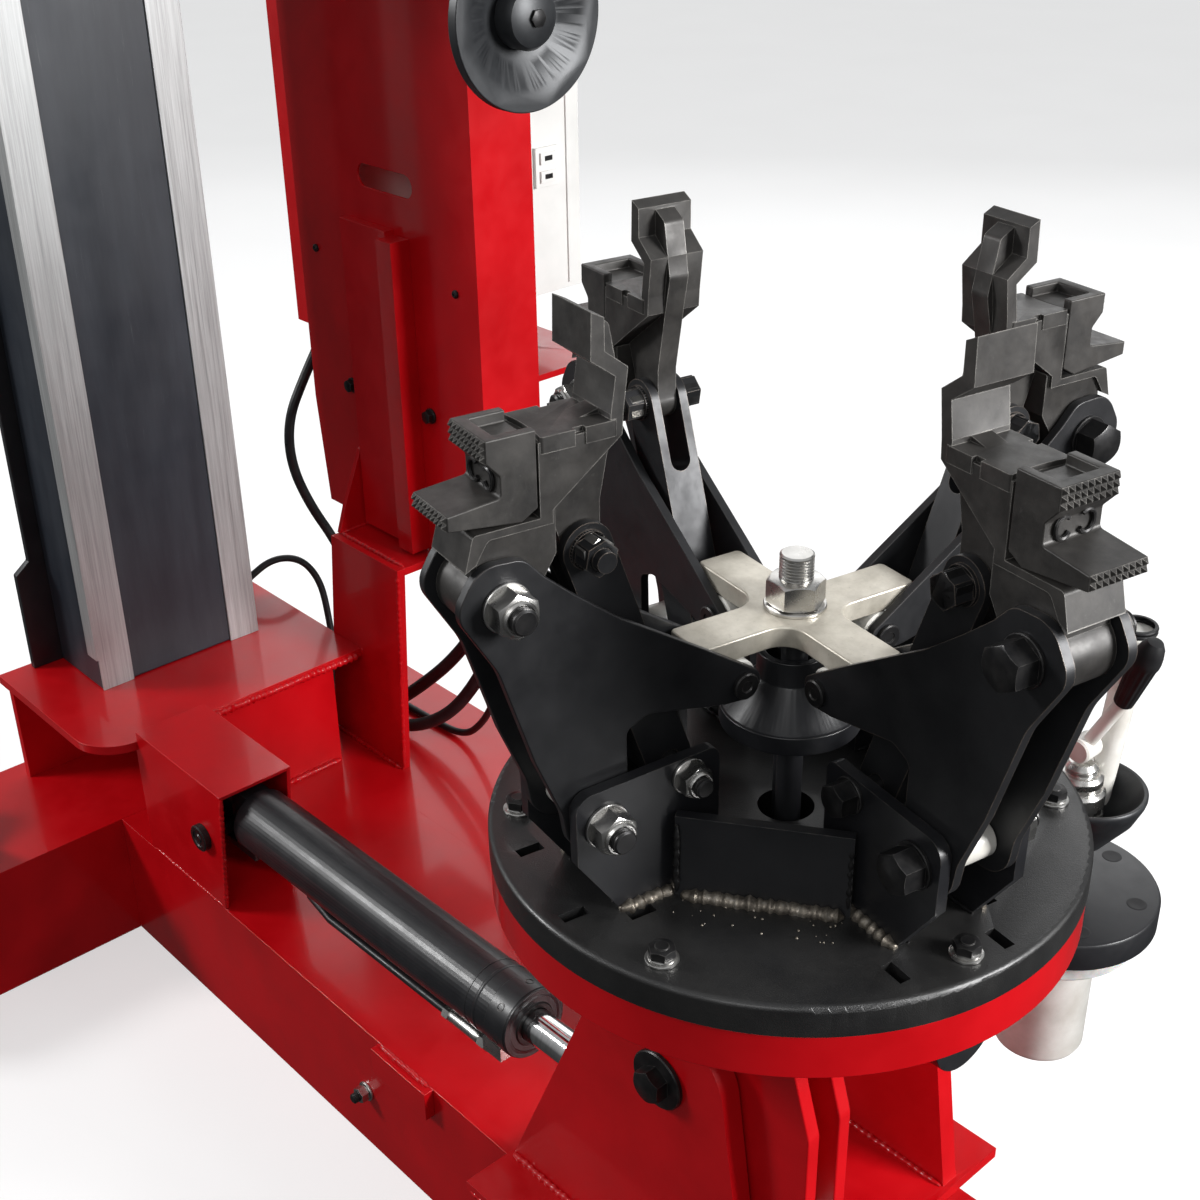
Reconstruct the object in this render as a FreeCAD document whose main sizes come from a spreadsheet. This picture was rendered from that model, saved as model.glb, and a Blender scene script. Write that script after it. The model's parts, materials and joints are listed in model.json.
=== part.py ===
"""Truck tyre changer: a four-jaw self-centring chuck on a tilting frame, its base, mast and tool boom.

Millimetres. +Z is up, +X runs along the base beam from the mast to the chuck, and the origin is on the
floor under the chuck's axis. Chuck pieces are drawn in their own arm's plane, with X along the radius,
Y across the arm and Z up from the top of the disc, and are then turned round the chuck's axis.
"""
import FreeCAD, Part
import Sketcher
import math
import os
import re

V = FreeCAD.Vector
Turn = FreeCAD.Rotation
doc = FreeCAD.newDocument("TyreChanger")

# ---- driving dimensions ----------------------------------------------------------------------------
SIZES = {
    "DiscTop": 642, "DiscRadius": 250, "DiscThick": 27, "DiscHole": 24, "RingDepth": 40,
    "DiscBoltCircle": 224, "DiscBoltCount": 6, "DiscBoltFirst": -132,
    "FirstArm": -101, "ArmCount": 4,
    "ArmPivotR": 202, "ArmPivotUp": 83, "LinkPivotR": 129, "LinkPivotUp": 101,
    "JawPivotR": 271, "JawPivotUp": 281, "JawLinkR": 198, "JawLinkUp": 299,
    "RollerPinR": 70, "RollerPinUp": 155, "RollerRadius": 17,
    "ArmPlateIn": 23, "ArmPlateOut": 31, "EarIn": 32.5, "EarOut": 42.5,
    "BigBolt": 10, "SmallBolt": 8, "RunGap": 0.3,
    "WallHigh": 73, "WallIn": 128.5, "WallOut": 137.5, "WallHalf": 68,
    "LinkHalf": 17.5, "LinkDepth": 20, "ForkSlot": 9.5, "ForkDeep": 62,
    "JawHalf": 25, "KnuckleHalf": 22, "KnuckleRadius": 26, "TongueHalf": 9, "TongueRadius": 16,
    "CrossLow": 172, "CrossHigh": 190, "CrossReach": 105, "CrossHalf": 21,
    "ClampRod": 10.8, "ClampRodAt": 11, "HubLow": 86, "HubRim": 58,
    "SpindleRadius": 60, "SpindleBore": 40, "SpindleDown": 180,
    "PivotUp": 433, "PivotPin": 20, "PivotEarIn": 127, "PivotEarOut": 147, "PivotEarRadius": 66,
    "FramePlateIn": 110, "FramePlateOut": 124, "LeverIn": 72, "LeverOut": 86,
    "LeverX": 113, "LeverUp": 320, "LeverPin": 12,
    "CylinderY": 98, "BarrelRadius": 38, "BarrelFront": -227, "BarrelRear": -725, "RodRadius": 17.5,
    "HoodPinX": -780, "HoodPinUp": 273, "HoodPin": 10,
    "BeamHalf": 147, "BeamUp": 178, "BeamRear": -1012, "BeamFront": 285, "BaseRear": -1230,
    "BaseWall": 8, "DeckEdge": 366,
    "MastFront": -1068, "MastRear": -1182, "MastHalf": 117, "MastWall": 8, "MastTop": 1700,
    "FootLow": 327, "FootHigh": 339, "FootFront": -925, "FootRear": -1200,
    "TowerFace": 257, "TowerBack": 345, "TowerLeft": -1083, "TowerRight": -715, "TowerTop": 1270,
    "ShelfUp": 492, "SheetWall": 3,
    "CabinetRight": -800, "CabinetBack": 493, "CabinetLow": 808, "CabinetTop": 1300,
    "CarriageLow": 1290, "CarriageTop": 1540, "BoomLow": 1335, "BoomTop": 1435, "BoomHalf": 50,
    "BeadX": -310, "BeadUp": 1242, "BeadRadius": 74,
    "TankX": 62, "TankY": 350, "TankLow": 211, "GripX": 70, "GripUp": 575,
    "AnchorX": 255, "AnchorY": 220, "AnchorHole": 8,
    "HoseDeck": 179, "HoseThin": 10, "HoseMedium": 14, "HoseThick": 18,
}
sheet = doc.addObject("Spreadsheet::Sheet", "Sizes")
for row, (word, number) in enumerate(SIZES.items(), start=1):
    sheet.set(f"A{row}", word)
    sheet.set(f"B{row}", str(number))
    sheet.setAlias(f"B{row}", word)
doc.recompute()


class Read:
    """Reads a driving dimension from the sheet: size.DiscTop."""

    def __getattr__(self, word):
        return float(sheet.get(word))


size = Read()
nodes = []


# ---- small building functions ----------------------------------------------------------------------
def bind(thing, field, text):
    """Bind a property to an expression in the sheet's words, such as "DiscTop - DiscThick"."""
    thing.setExpression(field, re.sub(r"[A-Z][A-Za-z]+", lambda found: "Sizes." + found.group(), str(text)))


def place(thing, x=0, y=0, z=0):
    for side, text in (("x", x), ("y", y), ("z", z)):
        bind(thing, f"Placement.Base.{side}", text)
    return thing


def box(x, y, z):
    """Block between a low and a high limit along each axis."""
    block = doc.addObject("Part::Box", "Block")
    for edge, (low, high) in zip(("Length", "Width", "Height"), (x, y, z)):
        bind(block, edge, f"({high}) - ({low})")
    return place(block, x[0], y[0], z[0])


AXIS_TURN = {"x": Turn(V(0, 1, 0), 90), "y": Turn(V(1, 0, 0), -90), "z": Turn()}


def along(thing, axis, low, first, second):
    """Stand a round piece along an axis; first and second are its other two coordinates in X, Y, Z order."""
    thing.Placement = FreeCAD.Placement(V(), AXIS_TURN[axis])
    spots = {"x": (low, first, second), "y": (first, low, second), "z": (first, second, low)}
    return place(thing, *spots[axis])


def rod(axis, radius, low, high, first=0, second=0):
    bar = doc.addObject("Part::Cylinder", "Rod")
    bind(bar, "Radius", radius)
    bind(bar, "Height", f"({high}) - ({low})")
    return along(bar, axis, low, first, second)


def cone(axis, radius_low, radius_high, low, high, first=0, second=0):
    taper = doc.addObject("Part::Cone", "Cone")
    bind(taper, "Radius1", radius_low)
    bind(taper, "Radius2", radius_high)
    bind(taper, "Height", f"({high}) - ({low})")
    return along(taper, axis, low, first, second)


def hexagon(axis, across_flats, low, high, first=0, second=0):
    head = doc.addObject("Part::Prism", "Hexagon")
    head.Polygon = 6
    bind(head, "Circumradius", across_flats / math.sqrt(3))
    bind(head, "Height", f"({high}) - ({low})")
    return along(head, axis, low, first, second)


def join(*pieces):
    whole = doc.addObject("Part::MultiFuse", "Join")
    whole.Shapes = list(pieces)
    return whole


def cut(base, *tools):
    rest = doc.addObject("Part::Cut", "Cut")
    rest.Base = base
    rest.Tool = tools[0] if len(tools) == 1 else join(*tools)
    return rest


def group(*solids):
    """Separate solids in one node."""
    bundle = doc.addObject("Part::Compound", "Group")
    bundle.Links = list(solids)
    return bundle


def tube(axis, outer, inner, low, high, first=0, second=0):
    return cut(rod(axis, outer, low, high, first, second),
               rod(axis, inner, f"({low}) - 1", f"({high}) + 1", first, second))


def edges_of(outline):
    """Straight edges and corner arcs of a closed outline of (x, y) or (x, y, corner radius) points."""
    starts, ends, arcs = [], [], []
    for number, point in enumerate(outline):
        here = V(point[0], point[1], 0)
        radius = point[2] if len(point) > 2 else 0
        before = V(*outline[number - 1][:2], 0) - here
        after = V(*outline[(number + 1) % len(outline)][:2], 0) - here
        before.normalize()
        after.normalize()
        if radius:
            half = before.getAngle(after) / 2
            reach = radius / math.tan(half)
            middle = before + after
            middle.normalize()
            top = here + middle * (radius / math.sin(half) - radius)
            arcs.append(Part.Arc(here + before * reach, top, here + after * reach))
            ends.append(here + before * reach)
            starts.append(here + after * reach)
        else:
            arcs.append(None)
            ends.append(here)
            starts.append(here)
    edges = []
    for number, arc in enumerate(arcs):
        if arc:
            edges.append(arc)
        finish = ends[(number + 1) % len(ends)]
        if (finish - starts[number]).Length > 0.01:
            edges.append(Part.LineSegment(starts[number], finish))
    return edges


def plate(outline, low, high, plane="XZ", holes=()):
    """Padded sketch between two heights along the plane's normal axis; holes are (x, y, radius word)."""
    body = doc.addObject("PartDesign::Body", "Plate")
    sketch = body.newObject("Sketcher::SketchObject", "Outline")
    for feature in body.Origin.OriginFeatures:
        if feature.Role == plane + "_Plane":
            sketch.AttachmentSupport = (feature, [""])
    sketch.MapMode = "FlatFace"
    for edge in edges_of(outline):
        sketch.addGeometry(edge, False)
    for x, y, radius in holes:
        number = sketch.addGeometry(Part.Circle(V(x, y, 0), V(0, 0, 1), 5), False)
        constraint = sketch.addConstraint(Sketcher.Constraint("Radius", number, 5))
        bind(sketch, f"Constraints[{constraint}]", radius)
    pad = body.newObject("PartDesign::Pad", "Pad")
    pad.Profile = sketch
    bind(pad, "Length", f"({high}) - ({low})")
    pad.SideType = "Symmetric"
    middle = f"(({low}) + ({high})) / 2"
    if plane == "XZ":
        return place(body, 0, middle, 0)
    if plane == "YZ":
        return place(body, middle, 0, 0)
    return place(body, 0, 0, middle)


def pair(outline, low, high, holes=()):
    """The same plate on both sides of the XZ plane."""
    return [plate(outline, low, high, holes=holes), plate(outline, f"-({high})", f"-({low})", holes=holes)]


def bolt(radius, grip_low, grip_high, x, z, across, washer=3):
    """Bolt along Y: head on the low side, washers, nut and a stub of thread on the high side."""
    head = 0.65 * across
    return join(rod("y", radius, f"({grip_low}) - {washer}", f"({grip_high}) + {washer + head + 7}", x, z),
                hexagon("y", across, f"({grip_low}) - {washer + head}", f"({grip_low}) - {washer}", x, z),
                rod("y", across * 0.62, f"({grip_low}) - {washer}", grip_low, x, z),
                rod("y", across * 0.62, grip_high, f"({grip_high}) + {washer}", x, z),
                hexagon("y", across, f"({grip_high}) + {washer}", f"({grip_high}) + {washer + head}", x, z))


def node(thing, name):
    thing.Label = name
    nodes.append(thing)
    return thing


def chuck_node(thing, name, azimuth=0.0):
    """A piece drawn in an arm's plane from the disc's top, turned round the chuck's axis."""
    old = thing.Placement
    spin = FreeCAD.Placement(V(), Turn(V(0, 0, 1), azimuth))
    thing.Placement = FreeCAD.Placement(V(0, 0, size.DiscTop), Turn()).multiply(spin).multiply(old)
    return node(thing, name)


# ---- base, mast and their brackets ------------------------------------------------------------------
def make_base():
    """Welded base: hollow beam, hollow rear cross base, deck with a turned-down edge and a V bracket."""
    beam = cut(box(("BeamRear", "BeamFront"), ("-BeamHalf", "BeamHalf"), (0, "BeamUp")),
               box(("BeamRear + BaseWall", "BeamFront - BaseWall"), ("BaseWall - BeamHalf", "BeamHalf - BaseWall"),
                   ("BaseWall", "BeamUp - BaseWall")))
    rear = cut(box(("BaseRear", "BeamRear"), (-520, "DeckEdge"), (0, "BeamUp")),
               box(("BaseRear + BaseWall", "BeamRear - BaseWall"), ("BaseWall - 520", "DeckEdge - BaseWall"),
                   ("BaseWall", "BeamUp - BaseWall")))
    deck = join(box(("BeamRear", -560), ("BeamHalf", "DeckEdge"), ("BeamUp - 10", "BeamUp")),
                box(("BeamRear", -560), ("DeckEdge - 10", "DeckEdge"), (0, "BeamUp")))
    vee = plate([(-1190, 178), (-1020, 178), (-1020, 232), (-1085, 205, 12), (-1160, 262), (-1190, 262)],
                -330, -318)
    feet = [cut(box(("BeamFront - 60", "BeamFront"), side, (0, 60)), rod("z", "AnchorHole", -5, 65, "AnchorX", hole))
            for side, hole in (((-260, "-BeamHalf"), "-AnchorY"), (("BeamHalf", 260), "AnchorY"))]
    block = box((-436, -340), (-159, "-BeamHalf"), (142, "BeamUp"))
    return node(group(beam, rear, deck, vee, block, *feet), "base_frame")


def make_mast():
    web = box((-942, -930), (-140, 146), ("BeamUp", "FootLow"))
    rear_web = box(("FootRear", "FootRear + 12"), (-190, 190), ("BeamUp", "FootLow"))
    keel = box(("FootRear + 12", -942), (-6, 6), ("BeamUp", "FootLow"))
    foot = plate([(size.FootRear, -200), (size.FootFront, -200, 60), (size.FootFront, 190.8), (size.FootRear, 190.8)],
                 "FootLow", "FootHigh", plane="XY")
    node(join(web, rear_web, keel, foot), "mast_foot")
    outer = box(("MastRear", "MastFront"), ("-MastHalf", "MastHalf"), ("FootHigh", "MastTop"))
    inner = box(("MastRear + MastWall", "MastFront - MastWall"), ("MastWall - MastHalf", "MastHalf - MastWall"),
                ("FootHigh", "MastTop - MastWall"))
    node(cut(outer, inner), "mast")
    strips = [box(("MastFront", "MastFront + 3"), side, ("FootHigh", "MastTop - 10"))
              for side in (("-MastHalf", "44 - MastHalf"), ("MastHalf - 44", "MastHalf"))]
    band = box(("MastFront - 22", "MastFront + 3"), ("-MastHalf - 3", "-MastHalf"), (384, "MastTop - 10"))
    node(group(join(strips[0], band), strips[1]), "wear_strips")
    back = plate([(-157, size.FootHigh), (-157, 477, 4), (-137, 492), (-137, 1250, 15), (120, 1250, 15),
                  (120, size.FootHigh)], "MastRear - 10", "MastRear - 0.2", plane="YZ")
    node(back, "mast_back_plate")


def make_hood():
    """Cover over the cylinder's rear end, open front and below, with the trunnion pin through its walls."""
    outline = [(-930, size.BeamUp), (-753, size.BeamUp), (-728, 353), (-924.8, 353), (-924.8, 326.8), (-930, 326.8)]
    inside = box((-918, -700), (-142, -55), (0, 348))
    pin_hole = rod("y", "HoodPin + 0.2", -160, -40, "HoodPinX", "HoodPinUp")
    node(cut(plate(outline, -147, -50), inside, pin_hole), "cylinder_hood")
    pin = join(rod("y", "HoodPin", -153, -42, "HoodPinX", "HoodPinUp"),
               rod("y", 17, -156, -147, "HoodPinX", "HoodPinUp"))
    tilt = []
    for side in (-1, 1):
        low, high = sorted((side * 104, side * 153))
        cap_low, cap_high = sorted((side * 147, side * 152))
        head_low, head_high = sorted((side * 152, side * 165))
        tilt.append(join(rod("y", "PivotPin", low, high, 0, "PivotUp"),
                         rod("y", 28, cap_low, cap_high, 0, "PivotUp"),
                         hexagon("y", 36, head_low, head_high, 0, "PivotUp")))
    node(group(pin, *tilt), "pivot_pins")


def make_pivot_bracket():
    """Base plate and the two upright ears that carry the tilting frame."""
    floor = box((-210, 118), (-205, 205), ("BeamUp", "BeamUp + 12"))
    top = size.PivotUp + size.PivotEarRadius
    wide = size.PivotEarRadius
    outline = [(-206, size.BeamUp + 12), (112, size.BeamUp + 12), (wide, top, wide - 14), (-wide - 6, top, wide - 14)]
    ears = pair(outline, "PivotEarIn", "PivotEarOut", holes=[(0, size.PivotUp, "PivotPin + 0.2")])
    node(join(floor, *ears), "pivot_bracket")


def make_tower():
    """Folded support plate, sheet tower with its raised channel, and the bolts on its face."""
    rise = plate([(-1010, size.BeamUp), (-849, size.BeamUp), (-825, size.ShelfUp), (-973, size.ShelfUp)], 191, 203)
    shelf = box((-973, -825), (203, 340), ("ShelfUp - 10", "ShelfUp"))
    corner = cut(box((-1083, -720), ("TowerBack", 470), (734, 742)),
                 box((-1100, -960), (400, 480), (730, 750)))
    posts = [box((x, x + 30), (380, 395), (742, "CabinetLow")) for x in (-950, -850)]
    rib = plate([(203, size.ShelfUp), (256.8, size.ShelfUp), (256.8, 606), (246, 600), (216, 530, 20)], -976, -969,
                plane="YZ")
    node(group(join(rise, shelf), rib, join(corner, *posts)), "support_brackets")

    face = [(-1083, 642), (-1069, 493), (size.TowerRight, 493), (size.TowerRight, size.TowerTop),
            (-1083, size.TowerTop)]
    shell = plate(face, "TowerFace", "TowerBack")
    hollow = box(("TowerLeft + SheetWall", "TowerRight - SheetWall"), ("TowerFace + SheetWall", 400),
                 (480, "TowerTop - SheetWall"))
    slot = join(box((-925, -844), (200, 300), (953, 981)), rod("y", 14, 200, 300, -925, 967),
                rod("y", 14, 200, 300, -844, 967))
    channel = cut(join(box((-966, -872), (243, "TowerFace"), (497, 911)),
                       box((-872, -842), (229, "TowerFace"), (497, 905))),
                  box((-963, -873), (246, 300), (480, 908)), box((-873, -845), (232, 300), (480, 902)))
    duct = cut(box((-1165, "TowerLeft"), (293, "TowerBack"), (722, "TowerTop")),
               box((-1162, "TowerLeft + 1"), (296, "TowerBack - 3"), (700, "TowerTop - 3")))
    node(group(cut(shell, hollow, slot), channel, duct), "tower_shell")
    heads = [rod("y", 5, 253, "TowerFace", x, z) for x, z in ((-1045, 854), (-756, 857))]
    heads += [join(rod("y", 10, 254, "TowerFace", x, z), hexagon("y", 15, 247, 254, x, z))
              for x, z in ((-988, 683), (-820, 687), (-998, 537))]
    stop = join(rod("y", 12, -150, -147, -471, 84), hexagon("y", 17, -160, -150, -471, 84),
                rod("y", 6, -168, -150, -471, 84))
    ports = [rod("x", "HoseThick / 2 + 0.5", -1100, -1080, 262, "HoseDeck + HoseThick / 2"),
             rod("x", "HoseThick / 2 + 0.5", -1100, -1080, 234, "HoseDeck + HoseThick / 2"),
             rod("x", "HoseThin / 2 + 0.5", -1100, -1080, 289, "HoseDeck + HoseThin / 2"),
             rod("z", "HoseMedium / 2 + 0.5", 206, 230, -1128, 326),
             rod("z", "HoseThin / 2 + 0.5", 206, 230, -1132, 276)]
    manifold = cut(box((-1150, -1090), (218, 345), ("BeamUp + 0.2", 216)), *ports)
    node(group(*heads, stop, manifold), "fixed_fittings")


def make_cabinet():
    outer = box(("TowerLeft", "CabinetRight - 3"), ("TowerBack + 6", "CabinetBack"), ("CabinetLow", "CabinetTop"))
    inner = box(("TowerLeft + 3", "CabinetRight + 10"), ("TowerBack + 9", "CabinetBack - 3"),
                ("CabinetLow + 3", "CabinetTop - 3"))
    node(cut(outer, inner), "cabinet_body")
    door = box(("CabinetRight - 2.5", "CabinetRight"), ("TowerBack + 7", "CabinetBack - 1"),
               ("CabinetLow + 1", "CabinetTop - 1"))
    hinges = [rod("z", 2.8, low, f"{low} + 60", "CabinetRight", "TowerBack + 7")
              for low in ("CabinetLow + 50", "CabinetTop - 110")]
    node(join(door, *hinges), "cabinet_door")
    node(join(rod("x", 24, "CabinetRight + 0.3", "CabinetRight + 8", 422, 1210),
              box(("CabinetRight + 8", "CabinetRight + 24"), (417, 427), (1190, 1230))), "switch_knob")


# ---- tilting frame and its cylinder ------------------------------------------------------------------
def make_tilt_frame():
    up = size.DiscTop - size.DiscThick - size.RingDepth
    top = cut(box((-170, 170), (-124, 124), (up - 12, up)), rod("z", 64, up - 20, up + 10))
    near = [(-110, up - 12), (110, up - 12), (145, 450, 20), (145, 288, 30), (85, 288, 30), (-20, 385, 40),
            (-52, 400, 25), (-60, 470, 20)]
    far = [(-110, up - 12), (110, up - 12), (60, 440, 20), (50, 383, 30), (-50, 383, 30), (-60, 440, 20)]
    pivot = (0, size.PivotUp, "PivotPin + 0.3")
    lever = (size.LeverX, size.LeverUp, "LeverPin")
    sides = [plate(near, "-FramePlateOut", "-FramePlateIn", holes=[pivot, lever]),
             plate(near, "-LeverOut", "-LeverIn", holes=[pivot, lever]),
             plate(far, "FramePlateIn", "FramePlateOut", holes=[pivot])]
    node(join(top, *sides), "tilt_frame")
    low = "DiscTop - DiscThick - RingDepth"
    ring = cut(rod("z", "DiscRadius - 1", low, "DiscTop - DiscThick - 0.5"),
               rod("z", "DiscRadius - 11", f"{low} + 6", "DiscTop"), rod("z", 64, f"{low} - 5", "DiscTop"))
    node(ring, "ring_guard")
    node(group(rod("y", "LeverPin", "-FramePlateOut", "-LeverIn", "LeverX", "LeverUp")), "lever_pin")
    case = cut(box((-92, 92), (-70, 100), (474, up - 12.2)), rod("z", "SpindleRadius + 1.5", 400, 600))
    motor = join(rod("x", 42, 92, 190, 15, 516), box((92, 104), (-38, 68), (478, 554)))
    node(group(case, motor), "drive_gearbox")


def make_cylinder():
    """Tilt cylinder: the rod's eye is on the lever pin, the barrel's lug rides on the hood's pin."""
    lean = math.degrees(math.atan2(17, size.LeverX - size.BarrelRear))
    run = size.LeverX - size.BarrelRear

    def lay(piece):
        piece.Placement = FreeCAD.Placement(V(size.LeverX, -size.CylinderY, size.LeverUp),
                                            Turn(V(0, 1, 0), -lean))
        return piece

    eye = cut(join(box((-95, 0), (-10.5, 10.5), (-16, 16)), rod("y", 24, -10.5, 10.5)),
              rod("y", "LeverPin + 0.3", -20, 20))
    front = size.LeverX - size.BarrelFront
    shaft = rod("x", "RodRadius", -front - 50, -90)
    piston = rod("x", "BarrelRadius - 8.4", -front - 50, -front - 30)
    node(lay(join(eye, shaft, piston)), "tilt_rod")
    shell = cut(rod("x", "BarrelRadius", -run, -front), rod("x", "BarrelRadius - 8", -run + 12, -front - 28),
                rod("x", "RodRadius + 0.4", -run + 5, -front + 5))
    lug = cut(box((-run - 92, -run), (-16, 16), (-55, 34.5)),
              box((-run - 71, -run - 39), (-20, 20), (-45.5, 30)))
    node(lay(join(shell, lug)), "tilt_barrel")


# ---- chuck --------------------------------------------------------------------------------------------
def make_disc():
    slab = rod("z", "DiscRadius", "-DiscThick", 0)
    holes = [rod("z", "DiscHole", "-DiscThick - 5", 5)]
    bolts = []
    for number in range(int(size.DiscBoltCount)):
        angle = math.radians(size.DiscBoltFirst + 360 / size.DiscBoltCount * number)
        x = size.DiscBoltCircle * math.cos(angle)
        y = size.DiscBoltCircle * math.sin(angle)
        holes.append(rod("z", 6.2, "-DiscThick - 5", 5, x, y))
        bolts.append(join(rod("z", 6, "2 - DiscThick", 8, x, y), rod("z", 13, 0, 2.5, x, y),
                          hexagon("z", 19, 2.5, 13, x, y)))
    for number in range(int(size.ArmCount)):
        for r, across in ((212, -61), (224, 29), (179, 54)):
            slot = group(box((r - 11, r + 11), (across - 5, across + 5), (-60, 5)))
            slot.Placement = FreeCAD.Placement(V(), Turn(V(0, 0, 1), size.FirstArm + 90 * number))
            holes.append(slot)
    rounded = doc.addObject("Part::Fillet", "RoundedDisc")
    rounded.Base = slab
    doc.recompute()
    rounded.Edges = [(number, 5, 5) for number, edge in enumerate(slab.Shape.Edges, start=1)
                     if edge.BoundBox.ZMin > -0.1]
    chuck_node(cut(rounded, *holes), "chuck_disc")
    chuck_node(group(*bolts), "disc_bolts")
    spindle = join(tube("z", "SpindleRadius", "SpindleBore", "6 - SpindleDown", "-DiscThick"),
                   rod("z", "SpindleRadius", "-SpindleDown", "6 - SpindleDown"))
    chuck_node(spindle, "spindle")


def make_ears():
    """Pairs of ears round the disc, the diagonal walls that tie them and the pivot bolts through them."""
    outline = [(100, 0), (190, 0), (227, 54), (228, 113, 15), (100, 118, 10)]
    pins = [(size.ArmPivotR, size.ArmPivotUp, "BigBolt"), (size.LinkPivotR, size.LinkPivotUp, "SmallBolt")]
    ears, bolts, rollers = [], [], []
    for number in range(int(size.ArmCount)):
        azimuth = size.FirstArm + 360 / size.ArmCount * number
        around = Turn(V(0, 0, 1), azimuth)
        wall = box(("WallIn", "WallOut"), ("-WallHalf", "WallHalf"), (0, "WallHigh"))
        turned = cut(wall, rod("z", 1, 200, 210))
        turned.Placement = FreeCAD.Placement(V(), Turn(V(0, 0, 1), azimuth + 45))
        here_ears = [group(*pair(outline, "EarIn", "EarOut", holes=pins))]
        fasteners = [group(bolt("BigBolt", "-EarOut", "EarOut", "ArmPivotR", "ArmPivotUp", 30),
                           bolt("SmallBolt", "-EarOut", "EarOut", "LinkPivotR", "LinkPivotUp", 24))]
        roller = [tube("y", 15, "BigBolt", "0.5 - ArmPlateIn", "ArmPlateIn - 0.5", "ArmPivotR", "ArmPivotUp")]
        for piece in here_ears + fasteners + roller:
            piece.Placement = FreeCAD.Placement(V(), around)
        ears += here_ears + [turned]
        bolts += fasteners
        rollers += roller
    chuck_node(group(*ears), "chuck_ears")
    chuck_node(group(*bolts), "pivot_bolts")
    chuck_node(group(*rollers), "pivot_rollers")


def make_clamp():
    """Cross plate, its nut, the twin rods with their piston, and the cone-shaped hub below the rollers."""
    reach, half = size.CrossReach, size.CrossHalf
    outline = []
    for number in range(4):
        turn = Turn(V(0, 0, 1), 90 * number)
        for x, y, radius in [(reach, -half, 5), (reach, half, 5), (half, half, 20)]:
            point = turn.multVec(V(x, y, 0))
            outline.append((point.x, point.y, radius))
    cross = plate(outline, "CrossLow", "CrossHigh", plane="XY", holes=[(0, 0, 14)])
    chuck_node(group(cross), "cross_plate", size.FirstArm)
    nut = join(rod("z", 14, "CrossLow", 236), rod("z", 25, "CrossHigh", "CrossHigh + 3"),
               hexagon("z", 41, "CrossHigh + 3", "CrossHigh + 25"))
    chuck_node(nut, "clamp_nut", 20)
    rods = [rod("z", "ClampRod", -130, "CrossLow - 8", 0, f"{side} * ClampRodAt") for side in (-1, 1)]
    chuck_node(join(rod("z", 22, "CrossLow - 8", "CrossLow"), *rods, rod("z", "SpindleBore - 0.5", -130, -100)),
               "clamp_rods", 48)
    hub = join(rod("z", "HubRim", "HubLow", "HubLow + 16"), cone("z", "HubRim - 2", 29, "HubLow + 16", "HubLow + 44"),
               rod("z", 29, "HubLow + 44", "HubLow + 66"))
    chuck_node(cut(hub, rod("z", 22.6, 50, 200)), "clamp_hub")


def make_arm(number):
    """One arm: bell-crank plates, roller and bolts, link, jaw and clamping pad."""
    azimuth = size.FirstArm + 360 / size.ArmCount * number
    name = f"arm_{number + 1}"
    arm = [(241, 296), (216, 274), (180, 245), (105, 196), (56, 163, 8), (52, 140, 14), (88, 143),
           (157, 158, 10), (176, 150, 8), (174, 56, 24), (226, 56, 26), (232, 96, 40), (253, 148), (279, 232, 60),
           (309, 283, 20), (290, 315, 24), (256, 313, 18)]
    arm_pins = [(size.ArmPivotR, size.ArmPivotUp, "BigBolt + RunGap"),
                (size.JawPivotR, size.JawPivotUp, "BigBolt"), (size.RollerPinR, size.RollerPinUp, "SmallBolt")]
    chuck_node(group(*pair(arm, "ArmPlateIn", "ArmPlateOut", holes=arm_pins)), name + "_plates", azimuth)
    jaw_bolt = bolt("BigBolt", "-ArmPlateOut", "ArmPlateOut", "JawPivotR", "JawPivotUp", 30)
    roller_pin = join(rod("y", "SmallBolt", "-ArmPlateOut", "ArmPlateOut", "RollerPinR", "RollerPinUp"),
                      rod("y", 11, "-ArmPlateOut - 4", "-ArmPlateOut", "RollerPinR", "RollerPinUp"),
                      rod("y", 11, "ArmPlateOut", "ArmPlateOut + 4", "RollerPinR", "RollerPinUp"))
    roller = tube("y", "RollerRadius - 0.1", "SmallBolt", "0.5 - ArmPlateIn", "ArmPlateIn - 0.5",
                  "RollerPinR", "RollerPinUp")
    chuck_node(group(jaw_bolt, roller_pin, roller), name + "_bolts", azimuth)
    make_link(name.replace("arm", "link"), azimuth)
    make_jaw(name.replace("arm", "jaw"), azimuth)


def make_link(name, azimuth):
    """Forked bar drawn upright from its lower pivot, then leaned outwards."""
    rise, out = size.JawLinkUp - size.LinkPivotUp, size.JawLinkR - size.LinkPivotR
    long = math.hypot(rise, out)
    deep = size.LinkDepth
    outline = [(-deep, -deep, deep - 0.01), (deep, -deep, deep - 0.01), (deep, long + deep, deep - 0.01),
               (-deep, long + deep, deep - 0.01)]
    bar = plate(outline, "-LinkHalf", "LinkHalf",
                holes=[(0, 0, "SmallBolt + RunGap"), (0, long, "SmallBolt")])
    bottom = long - size.ForkDeep + size.ForkSlot
    slot = join(box((-30, 30), ("-ForkSlot", "ForkSlot"), (bottom, long + 30)), rod("x", "ForkSlot", -30, 30, 0, bottom))
    pin = bolt("SmallBolt", "-LinkHalf", "LinkHalf", 0, long, 24)
    whole = group(cut(bar, slot), pin)
    whole.Placement = FreeCAD.Placement(V(size.LinkPivotR, 0, size.LinkPivotUp),
                                        Turn(V(0, 1, 0), math.degrees(math.atan2(out, rise))))
    chuck_node(whole, name, azimuth)


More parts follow.
